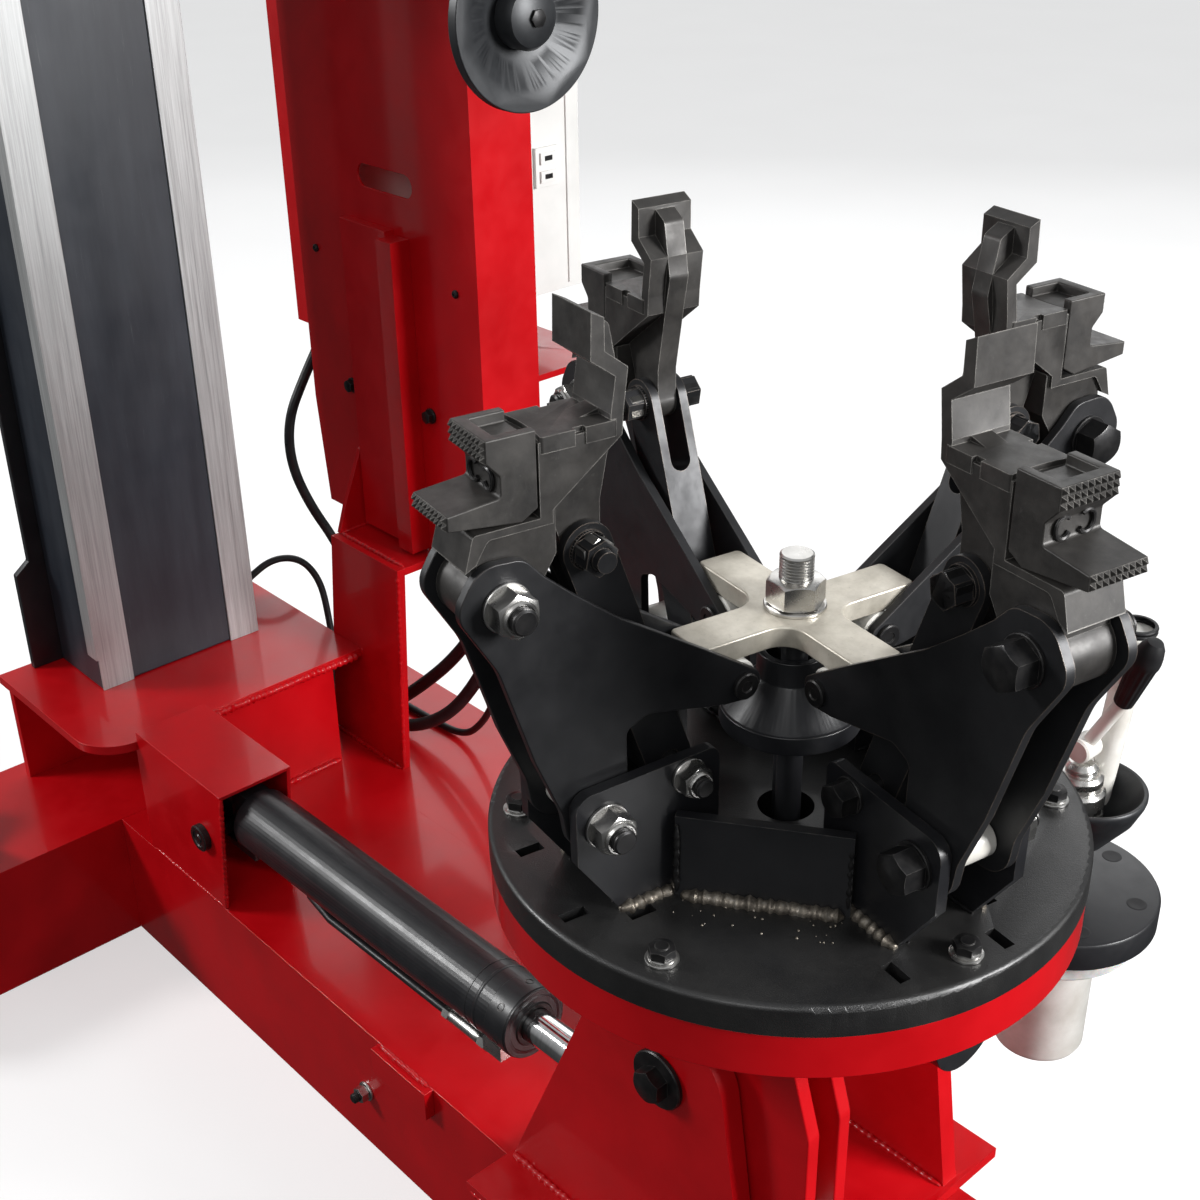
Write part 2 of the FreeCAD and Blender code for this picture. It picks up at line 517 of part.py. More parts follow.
def make_jaw(name, azimuth):
    """Stepped jaw with a tall finger, and the pad that sits on its outer ledge."""
    finger = [(187, 466), (197, 471), (198, 438), (179, 424), (183, 397), (173, 397), (169, 429), (187, 443)]
    spine = [(192, 466), (174, 456, 6), (166, 412, 12), (172, 385), (183, 330), (183, 299), (213, 299), (228, 345),
             (215, 390), (181, 398), (178, 424), (194, 440)]
    body = [(173, 398), (183, 398), (183, 390), (239, 390), (239, 336), (290, 336, 4), (297, 310), (289, 314),
            (279, 330, 6), (229, 330), (229, 340), (174, 382)]
    shelf = [(178, -26, 3), (203, -26), (203, -22), (211, -22), (211, -26), (238, -26, 3), (238, 26, 3), (211, 26),
             (211, 22), (203, 22), (203, 26), (178, 26, 3)]
    web = [(226, 341), (226, 306), (253, 263), (289, 298), (285, 330), (238, 334)]
    table = cut(plate(shelf, 382, 394, plane="XY"), rod("z", 123, 370, 400, 358, 0))
    neck = join(plate(web, "-KnuckleHalf", "KnuckleHalf"),
                rod("y", "KnuckleRadius", "-KnuckleHalf", "KnuckleHalf", "JawPivotR", "JawPivotUp"))
    tip = join(plate(spine, "-TongueHalf", "TongueHalf"),
               rod("y", "TongueRadius", "-TongueHalf", "TongueHalf", "JawLinkR", "JawLinkUp"))
    bores = [rod("y", "BigBolt + RunGap", -50, 50, "JawPivotR", "JawPivotUp"),
             rod("y", "SmallBolt + RunGap", -50, 50, "JawLinkR", "JawLinkUp")]
    wide = [plate(outline, "-JawHalf", "JawHalf") for outline in (finger, body)]
    chuck_node(cut(join(*wide, table, neck, tip), *bores), name, azimuth)
    pad = [(240.3, 400), (278, 400), (278, 384), (268, 373, 4), (268, 358, 3), (308, 354), (308, 343), (253, 336.5),
           (240.3, 344)]
    pocket = box((239, 268), (-17, 17), (392, 410))
    chuck_node(cut(plate(pad, "-JawHalf", "JawHalf"), pocket), name.replace("jaw", "pad"), azimuth)


# ---- tool boom on the mast ----------------------------------------------------------------------------
def make_carriage():
    outer = box(("MastRear - 22", -1040), ("-MastHalf - 22", "MastHalf + 22"), ("CarriageLow", "CarriageTop"))
    inner = box(("MastRear - 2", "MastFront + 5"), ("-MastHalf - 5", "MastHalf + 5"),
                ("CarriageLow - 5", "CarriageTop + 5"))
    arm = box((-1041, -560), ("-BoomHalf", "BoomHalf"), ("BoomLow", "BoomTop"))
    bore = box((-1030, -500), ("8 - BoomHalf", "BoomHalf - 8"), ("BoomLow + 8", "BoomTop - 8"))
    node(cut(join(outer, arm), inner, bore), "carriage")
    slide = box((-860, "BeadX - 22"), ("8.5 - BoomHalf", "BoomHalf - 8.5"), ("BoomLow + 8.5", "BoomTop - 8.5"))
    drop = box(("BeadX - 45", "BeadX - 22"), (-34, 34), (1205, "BoomTop - 8.5"))
    axle = rod("x", 12, "BeadX - 45", "BeadX + 18", 0, "BeadUp")
    node(join(slide, drop, axle), "tool_boom")
    dish = cut(join(cone("x", 40, "BeadRadius", "BeadX - 18", "BeadX", 0, "BeadUp"),
                    rod("x", "BeadRadius", "BeadX", "BeadX + 10", 0, "BeadUp")),
               cone("x", 34, "BeadRadius - 12", "BeadX - 4", "BeadX + 11", 0, "BeadUp"),
               rod("x", 12.2, "BeadX - 50", "BeadX + 50", 0, "BeadUp"))
    node(dish, "bead_disc")


def leaning(radius_low, radius_high, start, finish):
    """Round or tapered bar between two points."""
    axis = V(*finish) - V(*start)
    bar = doc.addObject("Part::Cone", "Leaning")
    bind(bar, "Radius1", radius_low)
    bind(bar, "Radius2", radius_high)
    bar.Height = axis.Length
    bar.Placement = FreeCAD.Placement(V(*start), Turn(V(0, 0, 1), axis))
    return bar


def make_tank():
    """Oil tank under a round flange on a post beside the chuck, its filler bowl and the hand grip above it."""
    x, y = "TankX", "TankY"
    post = join(box((-170, -130), ("BeamHalf", 420), (0, 40)), rod("z", 22, 40, 424, -150, 395),
                box((-172, 0), (382, 402), (410.2, 424)))
    bottle = join(rod("z", 47, "TankLow", "TankLow + 130", x, y), rod("z", 84, "TankLow + 150", "TankLow + 168", x, y),
                  cone("z", 50, 84, "TankLow + 130", "TankLow + 150", x, y))
    lid = cut(rod("z", 100, "TankLow + 168.2", "TankLow + 199", x, y),
              *[rod("z", 7, 350, 450, 62 + 78 * math.cos(turn), 350 + 78 * math.sin(turn))
                for turn in (math.radians(60 * step + 20) for step in range(6))])
    bowl = cut(join(cone("z", 20, 57, 470, 528, 79, 350), rod("z", 57, 528, 536, 79, 350),
                    rod("z", 14, "TankLow + 199", 470, 79, 350)), cone("z", 16, 53, 484, 538, 79, 350))
    union = join(rod("z", 26, 484, 548, "GripX", y), rod("z", 17, 548, 556, "GripX", y))
    union = join(bowl, union, leaning(14, 14, (70, 385, 500), (86, 385, 672)),
                 leaning(19, 19, (86, 385, 672), (87, 385, 704)))
    node(group(post, bottle, lid, union), "oil_tank")
    grip = join(rod("y", 13, 337, 363, "GripX", "GripUp"), leaning(7, 7, (70, 350, 575), (103, 350, 641)),
                leaning(9, 14, (102, 350, 638), (122, 350, 702)), leaning(14, 8, (122, 350, 702), (126, 350, 715)))
    node(cut(grip, rod("y", 4, 330, 370, "GripX", "GripUp")), "hand_grip")


# ---- hoses -------------------------------------------------------------------------------------------
def hose(name, diameter, points):
    """Hose of straight runs joined by tangent arcs, along points in order."""
    points = [V(*point) for point in points]
    start, pieces, radii = points[0], [], []
    for before, corner, after in zip(points, points[1:], points[2:]):
        into, out = corner - before, after - corner
        half = into.getAngle(out) / 2
        reach = 0.45 * min(into.Length, out.Length)
        radius = reach / math.tan(half)
        radii.append(radius)
        into.normalize()
        out.normalize()
        inward = out - into
        inward.normalize()
        first, last = corner - into * reach, corner + out * reach
        top = corner + inward * (radius / math.cos(half) - radius)
        pieces += [Part.makeLine(start, first), Part.Arc(first, top, last).toShape()]
        start = last
    pieces.append(Part.makeLine(start, points[-1]))
    path = Part.Wire(pieces)
    ring = Part.Wire([Part.makeCircle(diameter / 2, points[0], points[1] - points[0])])
    tube_shape = doc.addObject("Part::Feature", "Hose")
    tube_shape.Shape = path.makePipeShell([ring], True, True)
    runs = [(b - a).Length for a, b in zip(points, points[1:])]
    steps = [max(a, b) / min(a, b) for a, b in zip(runs, runs[1:])]
    print(f"{name}: diameter {diameter:.0f}, length {path.Length:.0f}, smallest radius {min(radii):.0f} "
          f"({min(radii) / diameter:.1f} diameters), longest run {max(runs):.0f}, largest step {max(steps):.2f}")
    return node(tube_shape, name)


def make_hoses():
    deck = size.HoseDeck
    thick, medium, thin = size.HoseThick, size.HoseMedium, size.HoseThin
    hose("hose_1", medium, [(-1128, 316, 760), (-1138, 312, 700), (-1150, 284, 645), (-1152, 252, 590),
                            (-1152, 248, 525), (-1150, 270, 455), (-1142, 304, 385), (-1130, 324, 310),
                            (-1128, 326, 208)])
    hose("hose_2", thin, [(-1150, 121, 355), (-1150, 156, 373), (-1150, 199, 391), (-1148, 243, 378),
                          (-1143, 268, 340), (-1136, 274, 290), (-1132, 276, 208)])
    high = deck + thick / 2
    hose("hose_3", thick, [(-782, 308, 520), (-784, 307, 440), (-812, 303, 370), (-858, 290, 305),
                           (-916, 274, 246), (-984, 264, high), (-1082, 262, high)])
    hose("hose_4", thick, [(-752, 318, 520), (-758, 316, 440), (-776, 306, 365), (-806, 292, 292),
                           (-852, 272, 226), (-920, 246, high), (-1000, 235, high), (-1082, 234, high)])
    low = deck + thin / 2
    hose("hose_5", thin, [(-738, 292, 520), (-740, 294, 440), (-752, 297, 360), (-772, 299, 284),
                          (-806, 300, 226), (-850, 299, low), (-925, 293, low), (-1000, 290, low), (-1082, 289, low)])


def check(things):
    """Stop if any object failed to compute or any node is empty or broken."""
    for thing in doc.Objects:
        if {"Invalid", "Error"} & set(thing.State):
            raise RuntimeError(f"{thing.Name} ({thing.Label}) is {thing.State}")
    for thing in things:
        if thing.Shape.isNull() or not thing.Shape.isValid():
            raise RuntimeError(f"{thing.Label} has no valid shape")
        print(f"{thing.Label:20s} {len(thing.Shape.Solids):3d} solids {thing.Shape.Volume / 1000:10.1f} cm3")


make_base()
make_mast()
make_hood()
make_pivot_bracket()
make_tower()
make_cabinet()
make_tilt_frame()
make_cylinder()
make_disc()
make_ears()
make_clamp()
for arm_number in range(int(size.ArmCount)):
    make_arm(arm_number)
make_carriage()
make_tank()
make_hoses()
doc.recompute()
check(nodes)
os.makedirs("parts", exist_ok=True)
for thing in nodes:
    thing.Shape.exportStep(f"parts/{thing.Label}.step")
print(len(nodes), "nodes")
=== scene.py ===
"""Looks of the truck tyre changer: materials, worn edges, welds, threads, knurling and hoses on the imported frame.

Shapes are worked out in millimetres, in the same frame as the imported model, and scaled to metres at the end.
"""
import bmesh
import bpy
import json
import math
import random
from mathutils import Matrix, Vector, noise

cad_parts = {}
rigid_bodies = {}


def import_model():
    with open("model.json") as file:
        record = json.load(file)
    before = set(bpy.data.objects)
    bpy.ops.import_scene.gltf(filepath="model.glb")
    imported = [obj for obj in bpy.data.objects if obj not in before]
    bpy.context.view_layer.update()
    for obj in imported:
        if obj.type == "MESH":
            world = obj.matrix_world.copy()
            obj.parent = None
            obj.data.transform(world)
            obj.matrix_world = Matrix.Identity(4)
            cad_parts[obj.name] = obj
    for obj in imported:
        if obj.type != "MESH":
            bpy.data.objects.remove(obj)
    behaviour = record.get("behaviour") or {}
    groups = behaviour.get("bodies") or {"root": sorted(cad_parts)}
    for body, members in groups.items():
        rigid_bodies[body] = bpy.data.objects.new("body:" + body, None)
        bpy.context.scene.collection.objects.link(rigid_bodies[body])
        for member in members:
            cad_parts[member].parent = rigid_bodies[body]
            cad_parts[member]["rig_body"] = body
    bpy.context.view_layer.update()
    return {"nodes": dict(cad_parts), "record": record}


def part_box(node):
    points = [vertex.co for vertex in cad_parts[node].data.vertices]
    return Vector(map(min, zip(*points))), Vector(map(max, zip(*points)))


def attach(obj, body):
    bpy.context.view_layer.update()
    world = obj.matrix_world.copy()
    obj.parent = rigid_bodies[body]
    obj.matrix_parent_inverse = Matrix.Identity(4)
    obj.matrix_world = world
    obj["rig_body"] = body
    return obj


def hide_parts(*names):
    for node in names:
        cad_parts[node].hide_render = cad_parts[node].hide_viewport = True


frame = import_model()
MM = 0.001
SCALE = Matrix.Scale(MM, 4)
SLOT_OF = {part["node"]: part["material_slot"] for part in frame["record"]["subparts"]}

# ---- the chuck's layout, in millimetres ---------------------------------------------------------------
DISC_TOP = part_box("chuck_disc")[1].z / MM
FIRST_ARM = -101
ARM_COUNT = 4
# Pivots in an arm's plane: radius from the chuck's axis and height above the disc.
ARM_PIVOT = (202, 83)
LINK_PIVOT = (129, 101)
JAW_PIVOT = (271, 281)
JAW_LINK = (198, 299)
ROLLER_PIN = (70, 155)
# Distances from an arm's plane: the arm plates' and the link's outer faces, and both faces of the ears.
PLATE_OUT = 31
LINK_OUT = 17.5
EAR_IN, EAR_OUT = 32.5, 42.5
ARM_BOLT, LINK_BOLT = 10, 8
ARM_NUT, LINK_NUT = 30, 24
WASHER = 3
# The camera: where it stands in metres, and its yaw, pitch and roll in degrees.
CAMERA_AT = (0.754, -0.886, 1.451)
CAMERA_ANGLES = (47.96, 27.95, -0.94)


def turned(degrees, axis):
    return Matrix.Rotation(math.radians(degrees), 4, axis)


def chuck_space(azimuth=0.0):
    """From an arm's own plane, measured from the disc's top, to the machine's frame."""
    return SCALE @ Matrix.Translation((0, 0, DISC_TOP)) @ turned(azimuth, "Z")


def arm_azimuth(number):
    return FIRST_ARM + 360 / ARM_COUNT * number


# ---- materials ----------------------------------------------------------------------------------------
class Look:
    """A procedural material: small helpers that add nodes and return their output sockets."""

    def __init__(self, name, roughness=0.5, metallic=0.0, coat=0.0, coat_roughness=0.1, specular=0.5):
        self.material = bpy.data.materials.new(name)
        self.material.use_nodes = True
        self.tree = self.material.node_tree
        self.shader = self.tree.nodes["Principled BSDF"]
        self.shader.inputs["Roughness"].default_value = roughness
        self.shader.inputs["Metallic"].default_value = metallic
        self.shader.inputs["Coat Weight"].default_value = coat
        self.shader.inputs["Coat Roughness"].default_value = coat_roughness
        self.shader.inputs["Specular IOR Level"].default_value = specular
        self.where = self.tree.nodes.new("ShaderNodeTexCoord").outputs["Object"]

    def node(self, kind, links=(), **settings):
        made = self.tree.nodes.new(kind)
        for name, value in settings.items():
            setattr(made, name, value)
        for name, value in dict(links).items():
            if isinstance(value, bpy.types.NodeSocket):
                self.tree.links.new(value, made.inputs[name])
            else:
                made.inputs[name].default_value = value
        return made

    def stretched(self, x, y, z):
        """Object coordinates stretched along an axis, for brushed or drawn surfaces."""
        return self.node("ShaderNodeMapping", {"Vector": self.where, "Scale": (x, y, z)}).outputs[0]

    def noise(self, scale, detail=4.0, rough=0.6, where=None):
        links = {"Vector": where or self.where, "Scale": scale, "Detail": detail, "Roughness": rough}
        return self.node("ShaderNodeTexNoise", links).outputs["Fac"]

    def ramp(self, value, stops):
        made = self.node("ShaderNodeValToRGB", {"Fac": value})
        for number, (place, shade) in enumerate(stops):
            mark = made.color_ramp.elements[number] if number < 2 else made.color_ramp.elements.new(place)
            mark.position = place
            mark.color = (shade, shade, shade, 1) if isinstance(shade, (int, float)) else (*shade, 1)
        return made.outputs["Color"]

    def mix(self, factor, first, second):
        made = self.tree.nodes.new("ShaderNodeMix")
        made.data_type = "RGBA"
        for socket, value in ((made.inputs[0], factor), (made.inputs[6], first), (made.inputs[7], second)):
            if isinstance(value, bpy.types.NodeSocket):
                self.tree.links.new(value, socket)
            else:
                socket.default_value = (*value, 1) if isinstance(value, tuple) else value
        return made.outputs[2]

    def times(self, first, second):
        return self.node("ShaderNodeMath", {0: first, 1: second}, operation="MULTIPLY").outputs[0]

    def edges(self, width, low=0.02, high=0.2):
        """White where the surface turns a corner within the width, in millimetres."""
        bevel = self.node("ShaderNodeBevel", {"Radius": width * MM}, samples=4).outputs[0]
        flat = self.tree.nodes.new("ShaderNodeNewGeometry").outputs["Normal"]
        dot = self.node("ShaderNodeVectorMath", {0: bevel, 1: flat}, operation="DOT_PRODUCT").outputs["Value"]
        turn = self.node("ShaderNodeMath", {0: 1.0, 1: dot}, operation="SUBTRACT").outputs[0]
        return self.ramp(turn, [(low, 0.0), (high, 1.0)])

    def bump(self, height, strength=0.3, distance=0.2):
        links = {"Height": height, "Strength": strength, "Distance": distance * MM}
        normal = self.node("ShaderNodeBump", links).outputs[0]
        self.tree.links.new(normal, self.shader.inputs["Normal"])

    def finish(self, colour, roughness=None, metallic=None):
        for name, value in (("Base Color", colour), ("Roughness", roughness), ("Metallic", metallic)):
            if isinstance(value, bpy.types.NodeSocket):
                self.tree.links.new(value, self.shader.inputs[name])
            elif value is not None:
                self.shader.inputs[name].default_value = (*value, 1) if isinstance(value, tuple) else value
        return self.material


def red_paint():
    """Gloss enamel over steel: deep red, slight orange peel and a little dust."""
    look = Look("red_paint", roughness=0.4, coat=0.4, coat_roughness=0.1, specular=0.25)
    cloud = look.ramp(look.noise(6, 4), [(0.35, (0.40, 0.0016, 0.004)), (0.65, (0.52, 0.0022, 0.006))])
    dust = look.ramp(look.noise(75, 8, 0.75), [(0.66, 0.0), (0.80, 0.10)])
    look.bump(look.noise(150, 3, 0.55), 0.16, 0.3)
    rough = look.ramp(look.noise(24, 5), [(0.3, 0.28), (0.7, 0.42)])
    return look.finish(look.mix(dust, cloud, (0.42, 0.05, 0.045)), rough)


def black_paint():
    look = Look("black_paint", roughness=0.38, coat=0.12, coat_roughness=0.2)
    base = look.ramp(look.noise(18, 5), [(0.3, (0.006, 0.0065, 0.008)), (0.7, (0.014, 0.014, 0.016))])
    worn = look.times(look.edges(1.2), look.ramp(look.noise(110, 6), [(0.45, 0.0), (0.6, 0.5)]))
    look.bump(look.noise(420, 3), 0.12, 0.15)
    rough = look.ramp(look.noise(40, 6, 0.7), [(0.3, 0.33), (0.7, 0.46)])
    return look.finish(look.mix(worn, base, (0.16, 0.14, 0.12)), rough)


def mast_steel():
    look = Look("mast_steel", roughness=0.42)
    where = look.stretched(9, 9, 1.2)
    smear = look.noise(3, 6, 0.65, where)
    base = look.ramp(smear, [(0.3, (0.009, 0.012, 0.018)), (0.7, (0.026, 0.031, 0.040))])
    scratch = look.ramp(look.noise(90, 8, 0.8, look.stretched(3, 3, 0.12)), [(0.62, 0.0), (0.72, 0.35)])
    look.bump(look.noise(160, 4), 0.12, 0.2)
    rough = look.ramp(look.noise(12, 6), [(0.3, 0.34), (0.7, 0.5)])
    return look.finish(look.mix(scratch, base, (0.16, 0.17, 0.18)), rough)


def black_steel():
    look = Look("black_steel", roughness=0.36, metallic=0.55)
    worn = look.times(look.edges(0.8), look.ramp(look.noise(160, 5), [(0.4, 0.1), (0.6, 0.8)]))
    base = look.ramp(look.noise(90, 5), [(0.3, (0.010, 0.010, 0.011)), (0.7, (0.028, 0.027, 0.027))])
    look.bump(look.noise(500, 3), 0.15, 0.1)
    rough = look.ramp(look.noise(60, 4), [(0.3, 0.3), (0.7, 0.48)])
    return look.finish(look.mix(worn, base, (0.22, 0.21, 0.20)), rough)


def zinc_steel():
    look = Look("zinc_steel", roughness=0.24, metallic=1.0)
    base = look.ramp(look.noise(60, 5, 0.6), [(0.3, (0.50, 0.49, 0.47)), (0.7, (0.66, 0.65, 0.63))])
    look.bump(look.noise(260, 3), 0.06, 0.06)
    return look.finish(base, look.ramp(look.noise(45, 5), [(0.3, 0.22), (0.7, 0.34)]))


def grained_black():
    """Powder coat of the disc: cloudy black with a coarse grain and a little dust."""
    look = Look("grained_black", roughness=0.36, coat=0.25, coat_roughness=0.2)
    grain = look.noise(850, 3, 0.7)
    cloud = look.ramp(look.noise(16, 6, 0.65), [(0.3, (0.007, 0.007, 0.0075)), (0.7, (0.017, 0.0165, 0.016))])
    dust = look.ramp(look.noise(320, 7, 0.8), [(0.66, 0.0), (0.74, 0.35)])
    look.bump(grain, 0.8, 0.4)
    rough = look.ramp(look.noise(24, 7, 0.7), [(0.3, 0.28), (0.7, 0.46)])
    return look.finish(look.mix(dust, cloud, (0.10, 0.095, 0.085)), rough)


def wear_steel():
    look = Look("wear_steel", roughness=0.42, metallic=0.55)
    drawn = look.noise(60, 8, 0.75, look.stretched(6, 6, 0.10))
    broad = look.noise(5, 5, 0.6, look.stretched(6, 6, 0.8))
    base = look.mix(broad, look.ramp(drawn, [(0.35, (0.20, 0.20, 0.20)), (0.62, (0.56, 0.57, 0.57))]),
                    (0.40, 0.41, 0.41))
    look.bump(drawn, 0.3, 0.12)
    return look.finish(base, look.ramp(drawn, [(0.3, 0.36), (0.7, 0.52)]))


def chromed_rod():
    look = Look("chromed_rod", roughness=0.08, metallic=1.0)
    look.bump(look.noise(300, 2, 0.5, look.stretched(4, 1, 1)), 0.04, 0.05)
    base = look.ramp(look.noise(40, 4, 0.6, look.stretched(6, 1, 1)), [(0.3, 0.62), (0.7, 0.82)])
    return look.finish(base, look.ramp(look.noise(50, 4), [(0.3, 0.05), (0.7, 0.14)]))


def zinc_plate():
    """Pale passivated cross plate: cloudy, lightly pitted, with chipped bright edges."""
    look = Look("zinc_plate", roughness=0.4, metallic=0.45)
    base = look.ramp(look.noise(26, 8, 0.65), [(0.3, (0.36, 0.33, 0.27)), (0.68, (0.62, 0.58, 0.50))])
    chips = look.times(look.edges(1.6), look.ramp(look.noise(130, 6, 0.7), [(0.36, 0.0), (0.5, 1.0)]))
    pits = look.ramp(look.noise(240, 7, 0.8), [(0.30, 0.55), (0.40, 0.0)])
    worn = look.mix(pits, look.mix(chips, base, (0.86, 0.84, 0.78)), (0.20, 0.18, 0.15))
    look.bump(look.noise(300, 6, 0.7), 0.35, 0.2)
    return look.finish(worn, look.ramp(look.noise(45, 6), [(0.3, 0.3), (0.7, 0.55)]))


def blued_steel():
    """Blackened laser-cut plate: near-black faces, brown rubbed edges, a few lighter scratches."""
    look = Look("blued_steel", roughness=0.42, metallic=0.35)
    base = look.ramp(look.noise(14, 7, 0.62), [(0.28, (0.010, 0.0105, 0.012)), (0.72, (0.026, 0.026, 0.028))])
    scratch = look.ramp(look.noise(75, 9, 0.85, look.stretched(1, 1, 5)), [(0.66, 0.0), (0.72, 0.5)])
    edge = look.times(look.edges(1.1), look.ramp(look.noise(85, 6, 0.7), [(0.32, 0.15), (0.58, 1.0)]))
    worn = look.mix(edge, look.mix(scratch, base, (0.10, 0.095, 0.09)), (0.24, 0.19, 0.15))
    look.bump(look.noise(380, 5, 0.6), 0.16, 0.14)
    return look.finish(worn, look.ramp(look.noise(30, 6, 0.7), [(0.3, 0.33), (0.7, 0.52)]))


def forged_steel():
    """Phosphated forging of the jaws: brown-black, mottled, light where edges have rubbed."""
    look = Look("forged_steel", roughness=0.5, metallic=0.3)
    base = look.ramp(look.noise(30, 8, 0.66), [(0.28, (0.018, 0.017, 0.0165)), (0.72, (0.060, 0.056, 0.052))])
    scale_marks = look.ramp(look.noise(190, 7, 0.75), [(0.6, 0.0), (0.74, 0.4)])
    edge = look.times(look.edges(1.3), look.ramp(look.noise(70, 7, 0.7), [(0.30, 0.1), (0.62, 0.95)]))
    worn = look.mix(edge, look.mix(scale_marks, base, (0.11, 0.105, 0.10)), (0.34, 0.325, 0.30))
    look.bump(look.noise(120, 7, 0.65), 0.3, 0.3)
    return look.finish(worn, look.ramp(look.noise(55, 6, 0.7), [(0.3, 0.36), (0.7, 0.56)]))


def white_cabinet():
    look = Look("white_cabinet", roughness=0.35)
    base = look.ramp(look.noise(9, 4), [(0.3, (0.66, 0.66, 0.64)), (0.7, (0.78, 0.78, 0.76))])
    look.bump(look.noise(340, 2), 0.08, 0.15)
    return look.finish(base)


def white_roller():
    look = Look("white_roller", roughness=0.33, coat=0.2)
    base = look.ramp(look.noise(30, 5), [(0.3, (0.62, 0.60, 0.55)), (0.7, (0.80, 0.79, 0.75))])
    look.bump(look.noise(200, 3), 0.06, 0.15)
    return look.finish(base)


def red_knob():
    look = Look("red_knob", roughness=0.3, coat=0.3)
    look.bump(look.noise(300, 2), 0.05, 0.1)
    return look.finish(look.ramp(look.noise(60), [(0.3, (0.5, 0.01, 0.01)), (0.7, (0.6, 0.02, 0.015))]))


def dish_black():
    look = Look("dish_black", roughness=0.4, metallic=0.3)
    base = look.ramp(look.noise(30, 6), [(0.3, (0.012, 0.013, 0.015)), (0.7, (0.035, 0.037, 0.04))])
    worn = look.times(look.edges(1.5), look.ramp(look.noise(80), [(0.4, 0.0), (0.6, 0.6)]))
    look.bump(look.noise(300, 4), 0.15, 0.15)
    return look.finish(look.mix(worn, base, (0.22, 0.22, 0.21)))


def rubber(name="black_rubber", shine=0.5):
    look = Look(name, roughness=shine, specular=0.3)
    base = look.ramp(look.noise(45, 5), [(0.3, (0.008, 0.008, 0.009)), (0.7, (0.018, 0.018, 0.019))])
    look.bump(look.noise(500, 3), 0.15, 0.12)
    return look.finish(base, look.ramp(look.noise(60, 4), [(0.3, shine - 0.1), (0.7, shine + 0.1)]))


def weld_metal():
    look = Look("weld_metal", roughness=0.4, metallic=0.75)
    base = look.ramp(look.noise(140, 6, 0.7), [(0.3, (0.07, 0.058, 0.048)), (0.55, (0.26, 0.23, 0.19)),
                                               (0.75, (0.45, 0.42, 0.38))])
    look.bump(look.noise(420, 5, 0.7), 0.5, 0.3)
    return look.finish(base, look.ramp(look.noise(90, 4), [(0.3, 0.28), (0.7, 0.55)]))


def frosted():
    """Milky plastic of the tank's collar."""
    look = Look("frosted", roughness=0.38)
    look.shader.inputs["Subsurface Weight"].default_value = 0.4
    look.shader.inputs["Subsurface Scale"].default_value = 0.01
    base = look.ramp(look.noise(35, 5), [(0.35, (0.44, 0.44, 0.43)), (0.65, (0.66, 0.66, 0.65))])
    look.bump(look.noise(220, 3), 0.1, 0.2)
    return look.finish(base)


LOOKS = {
    "frosted": frosted(),
    "red_paint": red_paint(), "black_paint": black_paint(), "black_steel": black_steel(),
    "zinc_steel": zinc_steel(), "grained_black": grained_black(), "wear_steel": wear_steel(),
    "chromed_rod": chromed_rod(), "zinc_plate": zinc_plate(), "blued_steel": blued_steel(),
    "forged_steel": forged_steel(), "white_cabinet": white_cabinet(), "white_roller": white_roller(),
    "red_knob": red_knob(), "dish_black": dish_black(), "black_rubber": rubber(),
    "hose_rubber": rubber("hose_rubber", 0.36), "weld_metal": weld_metal(), "mast_steel": mast_steel(),
}


# ---- mesh helpers ---------------------------------------------------------------------------------------
def block(x, y, z):
    """Box between a low and a high limit along each axis."""
    corners = [(x[0], z[0]), (x[1], z[0]), (x[1], z[1]), (x[0], z[1])]
    verts = [Vector((across, depth, height)) for depth in y for across, height in corners]
    faces = [[0, 1, 2, 3], [7, 6, 5, 4]]
    faces += [[n, n + 4, (n + 1) % 4 + 4, (n + 1) % 4] for n in range(4)]
    return verts, faces


def lathe(profile, steps=40, shape=None):
    """Turned solid round Z from (radius, height) points; shape(angle, radius, height) may change a ring."""
    verts, faces, rings = [], [], []
    for radius, height in profile:
        if radius < 1e-6:
            rings.append([len(verts)])
            verts.append(Vector((0, 0, height)))
            continue
        ring = []
        for step in range(steps):
            angle = 2 * math.pi * step / steps
            r, z = shape(angle, radius, height) if shape else (radius, height)
            ring.append(len(verts))
            verts.append(Vector((r * math.cos(angle), r * math.sin(angle), z)))
        rings.append(ring)
    for lower, upper in zip(rings, rings[1:]):
        for step in range(steps):
            after = (step + 1) % steps
            if len(lower) == 1 and len(upper) > 1:
                faces.append([lower[0], upper[after], upper[step]])
            elif len(upper) == 1 and len(lower) > 1:
                faces.append([lower[step], lower[after], upper[0]])
            elif len(lower) > 1:
                faces.append([lower[step], lower[after], upper[after], upper[step]])
    return verts, faces


def hexagon(across, low, high, bottom=True, top=True):
    """Hexagon with curved corner chamfers, as a bolt's head or a nut."""
    flat = across / 2
    rim = flat * 0.97

    def shape(angle, radius, height):
        if radius < flat:
            return radius, height
        corner = flat / math.cos((angle + math.pi / 6) % (math.pi / 3) - math.pi / 6)
        drop = (corner - rim) * 0.58
        if height == low and bottom:
            return corner, low + drop
        if height == high and top:
            return corner, high - drop
        return corner, height

    profile = [(0, low), (rim if bottom else rim * 0.99, low), (flat, low), (flat, high), (rim, high), (0, high)]
    return lathe(profile, 48, shape)


def threads(radius, low, high, pitch=2.0):
    """Stub of screw thread with a chamfered end, closed at both ends."""
    profile = [(0, low), (radius, low)]
    height = low
    while height + pitch < high - 1:
        profile += [(radius, height + 0.12 * pitch), (radius - 0.55 * pitch, height + 0.5 * pitch),
                    (radius, height + 0.88 * pitch)]
        height += pitch
    profile += [(radius, high - 1.2), (radius - 1.6, high), (0, high)]
    return lathe(profile, 36)


